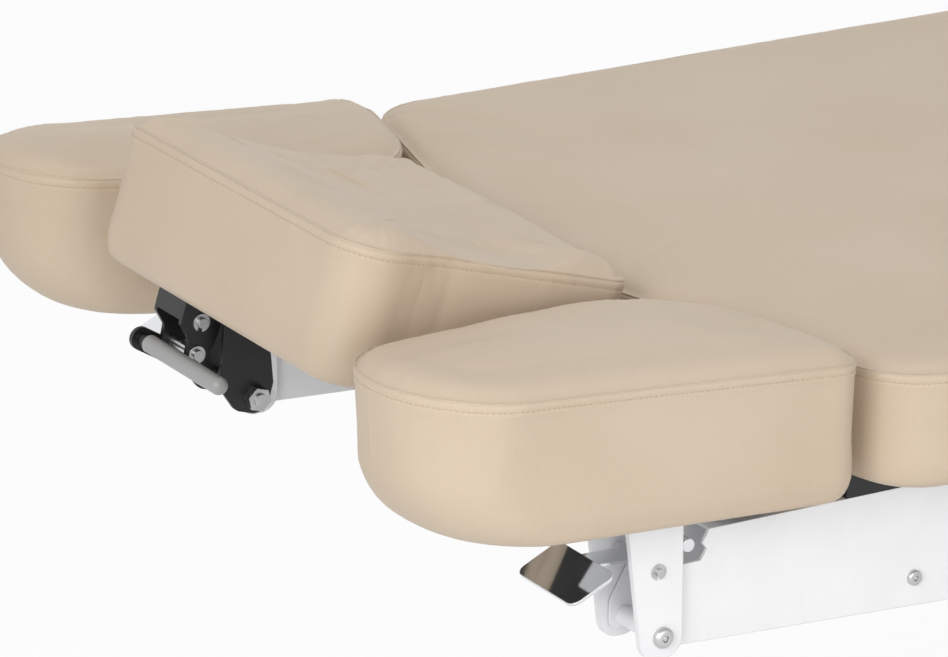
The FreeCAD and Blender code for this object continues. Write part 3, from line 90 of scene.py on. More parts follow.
def leatherette(name, base, dark):
    """Grained beige cover: cells of about a millimetre, finer pores, slow colour drift."""
    mat, tree, shader = new_material(name)
    coord = add(tree, "ShaderNodeTexCoord")
    warp = add(tree, "ShaderNodeTexNoise", Scale=160.0, Detail=2.0)
    tree.links.new(coord.outputs["Object"], warp.inputs["Vector"])
    cells = add(tree, "ShaderNodeTexVoronoi", Scale=620.0, feature="DISTANCE_TO_EDGE")
    bend = add(tree, "ShaderNodeVectorMath", operation="MULTIPLY_ADD")
    bend.inputs[1].default_value = (0.002, 0.002, 0.002)
    tree.links.new(warp.outputs["Color"], bend.inputs[0])
    tree.links.new(coord.outputs["Object"], bend.inputs[2])
    tree.links.new(bend.outputs["Vector"], cells.inputs["Vector"])
    cell_height = ramp(tree, cells.outputs["Distance"], 0.0, 0.16, grey(0.0), grey(1.0))
    pores = add(tree, "ShaderNodeTexNoise", Scale=1500.0, Detail=3.0)
    tree.links.new(coord.outputs["Object"], pores.inputs["Vector"])
    drift = add(tree, "ShaderNodeTexNoise", Scale=7.0, Detail=3.0)
    tree.links.new(coord.outputs["Object"], drift.inputs["Vector"])
    colour = ramp(tree, drift.outputs["Fac"], 0.3, 0.7, dark, base)
    creased = add(tree, "ShaderNodeMix", data_type="RGBA", blend_type="MULTIPLY")
    creased.inputs["Factor"].default_value = 0.05
    tree.links.new(colour, creased.inputs["A"])
    tree.links.new(cell_height, creased.inputs["B"])
    tree.links.new(creased.outputs["Result"], shader.inputs["Base Color"])
    rough = ramp(tree, pores.outputs["Fac"], 0.3, 0.7, grey(0.44), grey(0.56))
    tree.links.new(rough, shader.inputs["Roughness"])
    fine = add(tree, "ShaderNodeBump", Strength=0.08, Distance=0.0002)
    tree.links.new(pores.outputs["Fac"], fine.inputs["Height"])
    grain = add(tree, "ShaderNodeBump", Strength=0.12, Distance=0.0003)
    tree.links.new(cell_height, grain.inputs["Height"])
    tree.links.new(fine.outputs["Normal"], grain.inputs["Normal"])
    tree.links.new(grain.outputs["Normal"], shader.inputs["Normal"])
    shader.inputs["Specular IOR Level"].default_value = 0.38
    shader.inputs["Sheen Weight"].default_value = 0.06
    return mat


def coated(name, colour, roughness, metallic, peel, edge, specular=0.5):
    """Painted or plated metal: slight orange peel, patchy gloss and softened edges."""
    mat, tree, shader = new_material(name)
    coord = add(tree, "ShaderNodeTexCoord")
    fleck = add(tree, "ShaderNodeTexNoise", Scale=900.0, Detail=2.0)
    tree.links.new(coord.outputs["Object"], fleck.inputs["Vector"])
    patch = add(tree, "ShaderNodeTexNoise", Scale=25.0, Detail=4.0)
    tree.links.new(coord.outputs["Object"], patch.inputs["Vector"])
    darker = tuple(value * 0.97 for value in colour[:3]) + (1.0,)
    tree.links.new(ramp(tree, patch.outputs["Fac"], 0.35, 0.65, darker, colour), shader.inputs["Base Color"])
    gloss = ramp(tree, patch.outputs["Fac"], 0.3, 0.7, grey(roughness * 0.8), grey(roughness * 1.2))
    tree.links.new(gloss, shader.inputs["Roughness"])
    soft = add(tree, "ShaderNodeBevel", samples=4, Radius=edge)
    bump = add(tree, "ShaderNodeBump", Strength=peel, Distance=0.0003)
    tree.links.new(fleck.outputs["Fac"], bump.inputs["Height"])
    tree.links.new(soft.outputs["Normal"], bump.inputs["Normal"])
    tree.links.new(bump.outputs["Normal"], shader.inputs["Normal"])
    shader.inputs["Metallic"].default_value = metallic
    shader.inputs["Specular IOR Level"].default_value = specular
    return mat


def brushed(name, colour, roughness, across):
    """Plated or drawn metal with fine lines; across squeezes the noise into lines along the other axes."""
    mat, tree, shader = new_material(name)
    coord = add(tree, "ShaderNodeTexCoord")
    place = add(tree, "ShaderNodeMapping")
    place.inputs["Scale"].default_value = across
    tree.links.new(coord.outputs["Object"], place.inputs["Vector"])
    lines = add(tree, "ShaderNodeTexNoise", Scale=40.0, Detail=5.0)
    tree.links.new(place.outputs["Vector"], lines.inputs["Vector"])
    patch = add(tree, "ShaderNodeTexNoise", Scale=60.0, Detail=3.0)
    tree.links.new(coord.outputs["Object"], patch.inputs["Vector"])
    darker = tuple(value * 0.8 for value in colour[:3]) + (1.0,)
    tree.links.new(ramp(tree, patch.outputs["Fac"], 0.35, 0.65, darker, colour), shader.inputs["Base Color"])
    rough = ramp(tree, lines.outputs["Fac"], 0.35, 0.65, grey(roughness * 0.7), grey(roughness * 1.3))
    tree.links.new(rough, shader.inputs["Roughness"])
    soft = add(tree, "ShaderNodeBevel", samples=4, Radius=0.0005)
    bump = add(tree, "ShaderNodeBump", Strength=0.06, Distance=0.0002)
    tree.links.new(lines.outputs["Fac"], bump.inputs["Height"])
    tree.links.new(soft.outputs["Normal"], bump.inputs["Normal"])
    tree.links.new(bump.outputs["Normal"], shader.inputs["Normal"])
    shader.inputs["Metallic"].default_value = 1.0
    return mat


def plywood(name):
    mat, tree, shader = new_material(name)
    coord = add(tree, "ShaderNodeTexCoord")
    place = add(tree, "ShaderNodeMapping")
    place.inputs["Scale"].default_value = (3.0, 40.0, 260.0)
    tree.links.new(coord.outputs["Object"], place.inputs["Vector"])
    fibre = add(tree, "ShaderNodeTexNoise", Scale=2.0, Detail=6.0, Distortion=0.6)
    tree.links.new(place.outputs["Vector"], fibre.inputs["Vector"])
    colour = ramp(tree, fibre.outputs["Fac"], 0.3, 0.7, linear(26, 24, 22), linear(44, 41, 38))
    tree.links.new(colour, shader.inputs["Base Color"])
    bump = add(tree, "ShaderNodeBump", Strength=0.2, Distance=0.0004)
    tree.links.new(fibre.outputs["Fac"], bump.inputs["Height"])
    tree.links.new(bump.outputs["Normal"], shader.inputs["Normal"])
    shader.inputs["Roughness"].default_value = 0.7
    return mat


COVER = leatherette("beige_leatherette", linear(206, 188, 166), linear(201, 182, 159))
THREAD = coated("beige_thread", linear(193, 174, 150), 0.75, 0.0, 0.5, 0.0002, 0.2)
WHITE = coated("white_powder_coat", linear(240, 240, 242), 0.34, 0.0, 0.06, 0.0012)
BLACK = coated("black_powder_coat", linear(22, 22, 23), 0.40, 0.0, 0.22, 0.0008)
CHROME = coated("chrome_plate", (0.78, 0.79, 0.81, 1.0), 0.07, 1.0, 0.03, 0.0010)
ZINC = brushed("zinc_plate", (0.62, 0.62, 0.62, 1.0), 0.30, (1.0, 12.0, 1.0))
GRIP = coated("grey_vinyl", linear(160, 161, 160), 0.42, 0.0, 0.25, 0.0010)
PLASTIC = coated("black_plastic", linear(38, 38, 41), 0.52, 0.0, 0.35, 0.0015)
ALUMINIUM = brushed("anodised_aluminium", (0.52, 0.53, 0.54, 1.0), 0.33, (1.0, 30.0, 30.0))
GLIDE = coated("glide_plastic", linear(225, 224, 218), 0.5, 0.0, 0.1, 0.0006)
RUBBER = coated("foot_rubber", linear(30, 30, 31), 0.75, 0.0, 0.4, 0.0015)
WOOD = plywood("black_stained_plywood")

SLOT_MATERIALS = {
    "leatherette": COVER, "board_wood": WOOD, "white_steel": WHITE, "black_steel": BLACK, "chrome": CHROME,
    "zinc_steel": ZINC, "grip_vinyl": GRIP, "black_plastic": PLASTIC, "grey_aluminium": ALUMINIUM,
    "glide_plastic": GLIDE, "foot_rubber": RUBBER}
for part in frame["record"]["subparts"]:
    mesh = nodes[part["node"]].data
    mesh.materials.clear()
    mesh.materials.append(SLOT_MATERIALS[part["material_slot"]])


# Cushions: closed covers built ring by ring from the base, up the side band, over the seam, to the crown
def inset_corners(corners, insets):
    """The outline (x, y, radius) drawn in by insets[i] along the side from corner i to the next one."""
    count = len(corners)
    sides = []
    for i in range(count):
        x0, y0, _ = corners[i]
        x1, y1, _ = corners[(i + 1) % count]
        length = math.hypot(x1 - x0, y1 - y0)
        across = ((y0 - y1) / length, (x1 - x0) / length)
        sides.append((across, across[0] * x0 + across[1] * y0 + insets[i]))
    drawn = []
    for i in range(count):
        (a, p), (b, q) = sides[i - 1], sides[i]
        turn = a[0] * b[1] - a[1] * b[0]
        radius = max(corners[i][2] - min(insets[i - 1], insets[i]), 6.0)
        drawn.append(((p * b[1] - q * a[1]) / turn, (a[0] * q - b[0] * p) / turn, radius))
    return drawn


def outline_points(corners, arc_steps, line_steps):
    """Points along a rounded outline: the same count on each corner's arc and on each side at every level."""
    count = len(corners)
    arcs = []
    for i in range(count):
        corner = Vector(corners[i][:2])
        back = (Vector(corners[i - 1][:2]) - corner).normalized()
        ahead = (Vector(corners[(i + 1) % count][:2]) - corner).normalized()
        half = back.angle(ahead) / 2
        centre = corner + (back + ahead).normalized() * (corners[i][2] / math.sin(half))
        start = corner + back * (corners[i][2] / math.tan(half)) - centre
        sweep = math.copysign(math.pi - 2 * half, ahead.cross(back))
        turns = [sweep * k / arc_steps[i] for k in range(arc_steps[i] + 1)]
        arcs.append([centre + Matrix.Rotation(turn, 2) @ start for turn in turns])
    points = []
    for i in range(count):
        points += arcs[i]
        end, begin = arcs[i][-1], arcs[(i + 1) % count][0]
        points += [end.lerp(begin, k / line_steps[i]) for k in range(1, line_steps[i])]
    return points


def between(pairs, x):
    """A value between (x, value) pairs along a curve through them."""
    for i in range(1, len(pairs)):
        if x <= pairs[i][0]:
            break
    (x0, v0), (x1, v1) = pairs[i - 1], pairs[i]
    before, after = pairs[max(i - 2, 0)], pairs[min(i + 1, len(pairs) - 1)]
    slope_0 = (v1 - before[1]) / (x1 - before[0])
    slope_1 = (after[1] - v0) / (after[0] - x0)
    t, span = (x - x0) / (x1 - x0), x1 - x0
    rise = t * t * (3 - 2 * t)
    return v0 + (v1 - v0) * rise + span * t * (1 - t) * (slope_0 * (1 - t) - slope_1 * t)


# Places along a cover's spine where its top is closed
SPINE_SLOTS = 8
# Side band up to the seam: share of the seam's height, share of the undercut
SIDE = ((0.0, 1.0), (0.04, 0.5), (0.1, 0.24), (0.2, 0.08), (0.5, 0.1), (0.88, 0.04), (1.0, 0.0))
# Sewn edge, from below the topstitching to the roll of the top panel: height from the seam, inset
SEAM_EDGE = ((-10.0, 0.2), (-8.0, 0.0), (-7.0, 0.1), (-6.2, 0.5), (-5.4, 0.1), (-4.2, -0.3), (-2.6, -0.3),
             (-1.3, 0.0), (-0.5, 0.6), (0.0, 1.2), (0.5, 0.8), (1.3, 0.5), (2.4, 0.4))
# Topstitching: its depth under the seam, then the threads' pitch, length and radius
STITCH_DOWN = 6.2
STITCH_PITCH = 4.2
STITCH_LENGTH = 3.1
STITCH_RADIUS = 0.42
# Cloth: frames that are run, and the least distance between the rings of the copy
CLOTH_FRAMES = 10
CLOTH_SPACING = 16.0


def band_rings(seam, undercut):
    """Rings of the base roll and the side band up to the sewn edge."""
    heights = [0.0, 1.0, 2.5, 4.5, 7.0, 10.0, 13.0]
    steps = 14
    heights += [16.0 + (seam - 28.0) * k / steps for k in range(steps + 1)]
    rings = [(height, undercut * between(SIDE, height / seam)) for height in heights]
    return rings + [(seam + rise, inset) for rise, inset in SEAM_EDGE]


def crown_rings(seam, crown, run):
    """Rings of the top panel from the seam's roll inwards."""
    rings = []
    for share in (0.03, 0.06, 0.1, 0.15, 0.22, 0.3, 0.4, 0.52, 0.66, 0.82, 1.0):
        inward = run * share
        rise = max(crown * (1 - math.exp(-inward / (0.2 * run))), 2.4 + 0.5 * share)
        rings.append((seam + rise, inward + 0.6))
    return rings


def nose_inset(height, plain, radius=50.0):
    if height >= 2 * radius:
        return radius + plain / 2
    return radius - math.sqrt(max(radius ** 2 - (height - radius) ** 2, 0.0))


def roll_inset(height, radius):
    return radius - math.sqrt(radius ** 2 - max(radius - height, 0.0) ** 2)


def cover_grid(spec):
    """Rings of points of a cover in its own millimetre frame: base to crown, then inwards to its spine."""
    seam, crown, run = spec["seam"], spec["crown"], spec["run"]
    levels = band_rings(seam, spec["undercut"]) + crown_rings(seam, crown, run)
    rings = []
    for height, plain in levels:
        sides = range(len(spec["plan"]))
        insets = [nose_inset(height, plain) if i in spec["noses"] else plain for i in sides]
        for i, radius in spec["rolls"].items():
            insets[i] = max(plain, roll_inset(height, radius))
        corners = inset_corners(spec["plan"], insets)
        outline = outline_points(corners, spec["arc_steps"], spec["line_steps"])
        rings.append([Vector((p.x, p.y, height)) for p in outline])
    spine_from, spine_to = Vector(spec["spine"][0]), Vector(spec["spine"][1])
    spine = spine_to - spine_from
    edge = rings[-1]
    along = [(point.xy - spine_from).dot(spine) / spine.length_squared for point in edge]
    along = [min(max(way, 0.0), 1.0) for way in along]
    for step in range(1, spec["top_steps"] + 1):
        share = step / (spec["top_steps"] + 1.0)
        ring = []
        for point, way in zip(edge, along):
            spot = point.xy.lerp(spine_from + spine * way, share)
            dome = spec["dome"] * (1 - (1 - share) ** 2)
            ring.append(Vector((spot.x, spot.y, point.z + dome)))
        rings.append(ring)
    return rings, [round(way * SPINE_SLOTS) for way in along]


def close_spine(work, rim, slots):
    """Zips the innermost ring shut along a row of points between its sides; slots gives each one's place."""
    spine = []
    for slot in range(SPINE_SLOTS + 1):
        beside = [vert.co for vert, place in zip(rim, slots) if place == slot]
        spine.append(work.verts.new(sum(beside, Vector()) / len(beside)))
    for i in range(len(rim)):
        first, second = rim[i - 1], rim[i]
        work.faces.new((first, second, spine[slots[i - 1]]))
        step = 1 if slots[i] > slots[i - 1] else -1
        for slot in range(slots[i - 1], slots[i], step):
            work.faces.new((second, spine[slot + step], spine[slot]))


def ring_mesh(name, rings, base_ring, slots):
    """A closed mesh through rings of points, with its underside filled across the base ring."""
    mesh = bpy.data.meshes.new(name)
    work = bmesh.new()
    made = [[work.verts.new(point) for point in ring] for ring in [base_ring] + rings]
    count = len(rings[0])
    for lower, upper in zip(made, made[1:]):
        for i in range(count):
            work.faces.new((lower[i], lower[(i + 1) % count], upper[(i + 1) % count], upper[i]))
    work.faces.new(list(reversed(made[0])))
    close_spine(work, made[-1], slots)
    bmesh.ops.recalc_face_normals(work, faces=work.faces)
    for face in work.faces:
        face.smooth = True
    work.to_mesh(mesh)
    work.free()
    return mesh


# Places of the cushions in millimetres, and the tilts of the armrests and the headrest
SECTION_BASE = 548.0
ARMREST_BASE = 555.0
ARMREST_LEVEL_X = -800.0
ARMREST_SEAM = 115.0
ARMREST_BASE_TILT = 3.0
ARMREST_SEAM_TILT = 1.4
HEAD_END_X = -883.0
HEAD_END_Z = 737.0
HEAD_SEAM = 104.0
HEAD_TURN = math.radians(17.0)


def place_section(point):
    return Vector((point.x, point.y, SECTION_BASE + point.z)) * MM


def place_armrest(point):
    """Armrest covers tip up towards the head end, the seam a little more than the base."""
    turn = math.radians(ARMREST_BASE_TILT + ARMREST_SEAM_TILT * min(point.z / ARMREST_SEAM, 1.0))
    reach = point.x - ARMREST_LEVEL_X
    x = ARMREST_LEVEL_X + reach * math.cos(turn)
    z = ARMREST_BASE + point.z - reach * math.sin(turn)
    return Vector((x, point.y, z)) * MM


def place_right_armrest(point):
    spot = place_armrest(point)
    return Vector((spot.x, -spot.y, spot.z))


def place_headrest(point):
    rise = point.z - HEAD_SEAM
    x = HEAD_END_X + point.x * math.cos(HEAD_TURN) + rise * math.sin(HEAD_TURN)
    z = HEAD_END_Z - point.x * math.sin(HEAD_TURN) + rise * math.cos(HEAD_TURN)
    return Vector((x, point.y, z)) * MM


def ring_gap(first, second):
    return sum((a - b).length for a, b in zip(first, second)) / len(first)


def held_rings(rings, seam_ring):
    """Indices of the rings that go into the cloth copy: spaced out, always with the seam's fold."""
    kept = [0]
    for k in range(1, len(rings) - 1):
        apart = ring_gap(rings[k], rings[kept[-1]]) > CLOTH_SPACING
        if k == seam_ring or (apart and abs(k - seam_ring) > 2):
            kept.append(k)
    return kept


def swell(name, rings, seam_ring, place):
    """Runs Cloth with pressure on a coarse copy held at base and seam; gives its rings and their movement."""
    kept = held_rings(rings, seam_ring)
    count = len(rings[0])
    work = bmesh.new()
    made = [[work.verts.new(place(point)) for point in rings[k]] for k in kept]
    for lower, upper in zip(made, made[1:]):
        for i in range(count):
            work.faces.new((lower[i], lower[(i + 1) % count], upper[(i + 1) % count], upper[i]))
    work.faces.new(list(reversed(made[0])))
    work.faces.new(made[-1])
    work.verts.index_update()
    mesh = bpy.data.meshes.new(name + "_cloth")
    work.to_mesh(mesh)
    work.free()
    copy = bpy.data.objects.new(name + "_cloth", mesh)
    scene.collection.objects.link(copy)
    held = copy.vertex_groups.new(name="held")
    for row, k in enumerate(kept):
        if k <= 3 or k == seam_ring:
            held.add(list(range(row * count, (row + 1) * count)), 1.0, "REPLACE")
    cloth = copy.modifiers.new("Cloth", "CLOTH")
    cloth.settings.quality = 4
    cloth.settings.use_pressure = True
    cloth.settings.uniform_pressure_force = 4.0
    cloth.settings.vertex_group_mass = "held"
    cloth.settings.tension_stiffness = 25.0
    cloth.settings.compression_stiffness = 25.0
    cloth.settings.shear_stiffness = 10.0
    cloth.settings.bending_stiffness = 1.0
    cloth.settings.effector_weights.gravity = 0.0
    cloth.point_cache.frame_start = 1
    cloth.point_cache.frame_end = CLOTH_FRAMES
    for step in range(1, CLOTH_FRAMES + 1):
        scene.frame_set(step)
    shaped = copy.evaluated_get(bpy.context.evaluated_depsgraph_get()).to_mesh()
    moved = [shaped.vertices[i].co - mesh.vertices[i].co for i in range(len(mesh.vertices))]
    bpy.data.objects.remove(copy)
    scene.frame_set(1)
    return kept, [moved[row * count:(row + 1) * count] for row in range(len(kept))]


def spread(rings, kept, moved):
    """The cloth copy's movement at every ring of the fine cover, between the rings that were kept."""
    count = len(rings[0])
    along = [0.0]
    for first, second in zip(rings, rings[1:]):
        along.append(along[-1] + ring_gap(first, second))
    field = []
    row = 0
    for k in range(len(rings)):
        while row + 2 < len(kept) and k > kept[row + 1]:
            row += 1
        low, high = kept[row], kept[row + 1]
        share = min(max((along[k] - along[low]) / (along[high] - along[low]), 0.0), 1.0)
        field.append([moved[row][i].lerp(moved[row + 1][i], share) for i in range(count)])
    return field


def outward(rings, k, i):
    """Unit normal of the cover at a ring's point, in the cover's own frame."""
    count = len(rings[k])
    around = rings[k][(i + 1) % count] - rings[k][i - 1]
    up = rings[min(k + 1, len(rings) - 1)][i] - rings[max(k - 1, 0)][i]
    normal = around.cross(up)
    return normal.normalized() if normal.length > 1e-6 else Vector((0, 0, 1))


def tame(spec, field, seam_ring):
    """Caps the cloth's movement, so that a cover stays in the room its solid has."""
    for k, ring in enumerate(field):
        lengths = [move.length for move in ring]
        mean = sum(lengths) / len(lengths)
        cap = spec["side_cap"] if k <= seam_ring else spec["top_cap"]
        scale = min(1.0, cap * MM / max(mean, 1e-7))
        for move in ring:
            move *= scale
            if move.length > 1.6 * cap * MM:
                move.length = 1.6 * cap * MM
    return level_top(spec, field)


def level_top(spec, field):
    """Turns the top panel's movement, ring by ring, into one even lift over its inner half."""
    first = len(field) - spec["top_steps"]
    half = spec["top_steps"] // 2
    ring = field[first + half]
    lift = sum(ring, Vector()) / len(ring)
    for step in range(spec["top_steps"]):
        share = min(step / half, 1.0)
        share = share * share * (3 - 2 * share)
        field[first + step] = [move.lerp(lift, share) for move in field[first + step]]
    return field


def wrinkle(spec, rings, seam_ring):
    """Small gathers beside the seam and slow unevenness of the foam, added in the cover's own frame."""
    count = len(rings[0])
    shaped = []
    arc = [0.0]
    for i in range(1, count):
        arc.append(arc[-1] + (rings[seam_ring][i] - rings[seam_ring][i - 1]).length)
    for k, ring in enumerate(rings):
        shaped_ring = []
        for i, point in enumerate(ring):
            off_seam = abs(point.z - rings[seam_ring][i].z) + 0.6 * (
                Vector(point.xy) - Vector(rings[seam_ring][i].xy)).length
            seed = Vector((arc[i] / 38.0, spec["seed"], point.z / 60.0))
            gather = 0.45 * noise.noise(Vector((arc[i] / 9.0, spec["seed"] + 7.0, 0.0)))
            gather *= math.exp(-off_seam / 14.0)
            around = 0.55 * max(0.0, 1.0 - max(k - seam_ring, 0) / 12.0)
            uneven = around * noise.noise(seed)
            uneven += 0.5 * noise.noise(Vector((point.x / 70.0, point.y / 70.0, spec["seed"])))
            fade = min(k / 6.0, 1.0)
            way = outward(rings, k, i) if k <= seam_ring + 8 else Vector((0, 0, 1))
            shaped_ring.append(point + way * (gather + uneven) * fade)
        shaped.append(shaped_ring)
    return shaped


def segment_distance(spot, start, end):
    way = end - start
    along = min(max((spot - start).dot(way) / way.length_squared, 0.0), 1.0)
    return (spot - start - way * along).length


def crease(rings, seam_ring, path, depth, width):
    """Presses a fold line into the top panel along a path of plan points."""
    points = [Vector(spot) for spot in path]
    for ring in rings[seam_ring + 1:]:
        for point in ring:
            flat = Vector(point.xy)
            gap = min(segment_distance(flat, a, b) for a, b in zip(points, points[1:]))
            if gap < 5 * width:
                end_gap = min((flat - points[0]).length, (flat - points[-1]).length)
                fade = min(end_gap / (6 * width), 1.0)
                point.z -= depth * fade * math.exp(-(gap / width) ** 2)
                point.z += 0.45 * depth * fade * math.exp(-((gap - 2.4 * width) / (1.2 * width)) ** 2)


def carve_valley(rings, seam_ring, valley):
    """Hollows the top panel along Y under a large circle, rounded where it meets the crown."""
    middle, radius, low = valley
    for ring in rings[seam_ring + 1:]:
        for point in ring:
            across = min(abs(point.x - middle), radius)
            floor = low + radius - math.sqrt(radius ** 2 - across ** 2)
            gap = point.z - floor
            soft = 4.0
            if gap > -soft:
                drop = gap if gap > soft else (gap + soft) ** 2 / (4 * soft)
                point.z -= drop


def cut_pockets(obj, pockets):
    """Hinge pockets: boxes (low corner, high corner) in millimetres cut from a cover."""
    for low, high in pockets:
        middle = [(a + b) / 2 * MM for a, b in zip(low, high)]
        size = [(b - a) * MM for a, b in zip(low, high)]
        work = bmesh.new()
        stretch = Matrix.Translation(middle) @ Matrix.Diagonal((*size, 1.0))
        bmesh.ops.create_cube(work, size=1.0, matrix=stretch)
        mesh = bpy.data.meshes.new("pocket")
        work.to_mesh(mesh)
        work.free()
        tool = bpy.data.objects.new("pocket", mesh)
        scene.collection.objects.link(tool)
        cut = obj.modifiers.new("pocket", "BOOLEAN")
        cut.operation = "DIFFERENCE"
        cut.solver = "EXACT"
        cut.object = tool
        shaped = bpy.data.meshes.new_from_object(obj.evaluated_get(bpy.context.evaluated_depsgraph_get()))
        obj.modifiers.clear()
        obj.data = shaped
        bpy.data.objects.remove(tool)


def stitch_mesh(name, path, normals, pitch, length, radius):
    """A row of thread stitches, each a small bead-ended lozenge dipping into the cover at its ends."""
    work = bmesh.new()
    count = len(path)
    travel = 0.0
    due = pitch
    for i in range(count):
        start, end = path[i], path[(i + 1) % count]
        run = (end - start).length
        while run > 0 and travel + run >= due:
            share = (due - travel) / run
            middle = start.lerp(end, share)
            way = (end - start).normalized()
            normal = normals[i].lerp(normals[(i + 1) % count], share).normalized()
            side = normal.cross(way).normalized()
            rows = []
            for step in range(5):
                t = step / 4 - 0.5
                bulge = radius * (0.35 + 0.65 * math.cos(math.pi * t) ** 0.5)
                lift = normal * (radius * (0.5 - 3.4 * t * t))
                centre = middle + way * (length * t) + lift
                rows.append([work.verts.new(centre + (side * math.cos(a) + normal * math.sin(a)) * bulge)
                             for a in (0.0, 1.05, 2.09, 3.14, 4.19, 5.24)])
            for lower, upper in zip(rows, rows[1:]):
                for a in range(6):
                    work.faces.new((lower[a], lower[(a + 1) % 6], upper[(a + 1) % 6], upper[a]))
            work.faces.new(list(reversed(rows[0])))
            work.faces.new(rows[-1])
            due += pitch
        travel += run
    bmesh.ops.recalc_face_normals(work, faces=work.faces)
    for face in work.faces:
        face.smooth = True
    mesh = bpy.data.meshes.new(name)
    work.to_mesh(mesh)
    work.free()
    return mesh


def make_cushion(spec):
    """One cover with its stitching: rings, valley, creases, gathers, placing, cloth, pockets."""
    rings, slots = cover_grid(spec)
    seam_ring = min(range(len(rings)), key=lambda k: abs(rings[k][0].z - spec["seam"]))
    if spec["valley"]:
        carve_valley(rings, seam_ring, spec["valley"])
    for path, depth, width in spec["creases"]:
        crease(rings, seam_ring, path, depth, width)
    rings = wrinkle(spec, rings, seam_ring)
    place = spec["place"]
    placed = [[place(point) for point in ring] for ring in rings]
    kept, moved = swell(spec["name"], rings, seam_ring, place)
    field = tame(spec, spread(rings, kept, moved), seam_ring)
    pairs = [zip(ring, moves) for ring, moves in zip(placed, field)]
    placed = [[point + move for point, move in pair] for pair in pairs]
    lip_corners = inset_corners(spec["plan"], spec["lip"])
    lip = outline_points(lip_corners, spec["arc_steps"], spec["line_steps"])
    under = [place(Vector((p.x, p.y, 0.0))) for p in lip]
    roof = [place(Vector((p.x, p.y, spec["board"] + 0.4))) for p in lip]
    mesh = ring_mesh(spec["name"], [under] + placed, roof, slots)
    cover = bpy.data.objects.new(spec["name"], mesh)
    scene.collection.objects.link(cover)
    if spec["pockets"]:
        cut_pockets(cover, spec["pockets"])
    cover.data.materials.clear()
    cover.data.materials.append(COVER)
    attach(cover, spec["body"])
    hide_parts(spec["node"])
    row = min(range(seam_ring), key=lambda k: abs(rings[k][0].z - (spec["seam"] - STITCH_DOWN)))
    flip = -1.0 if spec["mirrored"] else 1.0
    normals = [flip * outward(placed, row, i) for i in range(len(placed[row]))]
    thread = stitch_mesh(spec["name"] + "_stitching", placed[row], normals, STITCH_PITCH * MM,
                         STITCH_LENGTH * MM, STITCH_RADIUS * MM)
    stitches = bpy.data.objects.new(spec["name"] + "_stitching", thread)
    scene.collection.objects.link(stitches)
    stitches.data.materials.append(THREAD)
    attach(stitches, spec["body"])
    return cover


# Width of the cover's base that is turned under beside its board
BOARD_LIP = 35.0


def cushion_spec(name, node, body, plan, place, **changes):
    """The named values of a cover, with those of a bed section where none are given."""
    sides = len(plan)
    spec = dict(
        name=name, node=node, body=body, plan=plan, place=place, seam=90.0, crown=12.0, run=45.0, dome=2.0,
        undercut=14.0, noses=(), rolls={}, arc_steps=[10] * sides, line_steps=[30] * sides, top_steps=16,
        board=12.0, lip=[BOARD_LIP] * sides, valley=None, creases=(), pockets=(), seed=1.0, side_cap=1.2,
        top_cap=4.0, mirrored=False)
    spec.update(changes)
    return spec


# Hinge pockets: their sides from the middle plane, their bottom and top
POCKET_Y = (262.0, 290.0)
POCKET_Z = (540.0, 625.0)


def pockets_at(low_x, high_x):
    """The two hinge pockets of a section between two places along the bed."""
    (near, far), (bottom, top) = POCKET_Y, POCKET_Z
    return [((low_x, near, bottom), (high_x, far, top)), ((low_x, -far, bottom), (high_x, -near, top))]


# Plans of the covers: corners (x, y, radius) anticlockwise from above
BACK_PLAN = [(-623.0, -100.0, 200.0), (-547.0, -390.0, 60.0), (89.0, -390.0, 25.0), (89.0, 390.0, 25.0),
             (-547.0, 390.0, 60.0), (-623.0, 100.0, 200.0)]
SEAT_PLAN = [(95.0, -390.0, 25.0), (420.0, -390.0, 25.0), (420.0, 390.0, 25.0), (95.0, 390.0, 25.0)]
LEG_PLAN = [(426.0, -390.0, 25.0), (933.9, -390.0, 90.0), (933.9, 390.0, 90.0), (426.0, 390.0, 25.0)]
ARMREST_PLAN = [(-623.0, 162.0, 107.0), (-559.0, 377.0, 30.0), (-934.0, 376.0, 86.0),
                (-934.5, 234.0, 70.0)]
HEAD_PLAN = [(0.0, -194.0, 36.0), (85.0, -172.0, 150.0), (260.0, -162.0, 22.0), (260.0, 162.0, 22.0),
             (85.0, 172.0, 150.0), (0.0, 194.0, 36.0)]
ARMREST = dict(seam=ARMREST_SEAM, crown=14.0, run=46.0, dome=3.0, undercut=22.0, rolls={2: 66.0},
               lip=[BOARD_LIP, BOARD_LIP, 75.0, BOARD_LIP], spine=((-840.0, 292.0), (-680.0, 287.0)),
               arc_steps=[30, 12, 34, 24], line_steps=[22, 40, 4, 40], top_steps=22, top_cap=3.0)

make_cushion(cushion_spec(
    "backrest_cover", "backrest_cushion", "backrest", BACK_PLAN, place_section, noses=(2,), seed=3.0,
    spine=((-420.0, 0.0), (-110.0, 0.0)), arc_steps=[6, 12, 8, 8, 12, 6],
    line_steps=[36, 66, 70, 66, 36, 22], top_steps=28,
    lip=[BOARD_LIP, BOARD_LIP, 121.0, BOARD_LIP, BOARD_LIP, BOARD_LIP], pockets=pockets_at(14.0, 100.0)))
make_cushion(cushion_spec(
    "seat_cover", "seat_cushion", "chassis", SEAT_PLAN, place_section, noses=(1, 3), seed=5.0,
    spine=((257.0, -250.0), (257.0, 250.0)), line_steps=[36, 70, 36, 70],
    lip=[BOARD_LIP, 52.0, BOARD_LIP, 52.0]))
make_cushion(cushion_spec(
    "legrest_cover", "legrest_cushion", "legrest", LEG_PLAN, place_section, noses=(3,), seed=8.0,
    spine=((660.0, -120.0), (660.0, 120.0)), arc_steps=[8, 18, 18, 8], line_steps=[52, 60, 52, 70],
    top_steps=26, lip=[BOARD_LIP, BOARD_LIP, BOARD_LIP, 161.0], pockets=pockets_at(415.0, 552.0)))
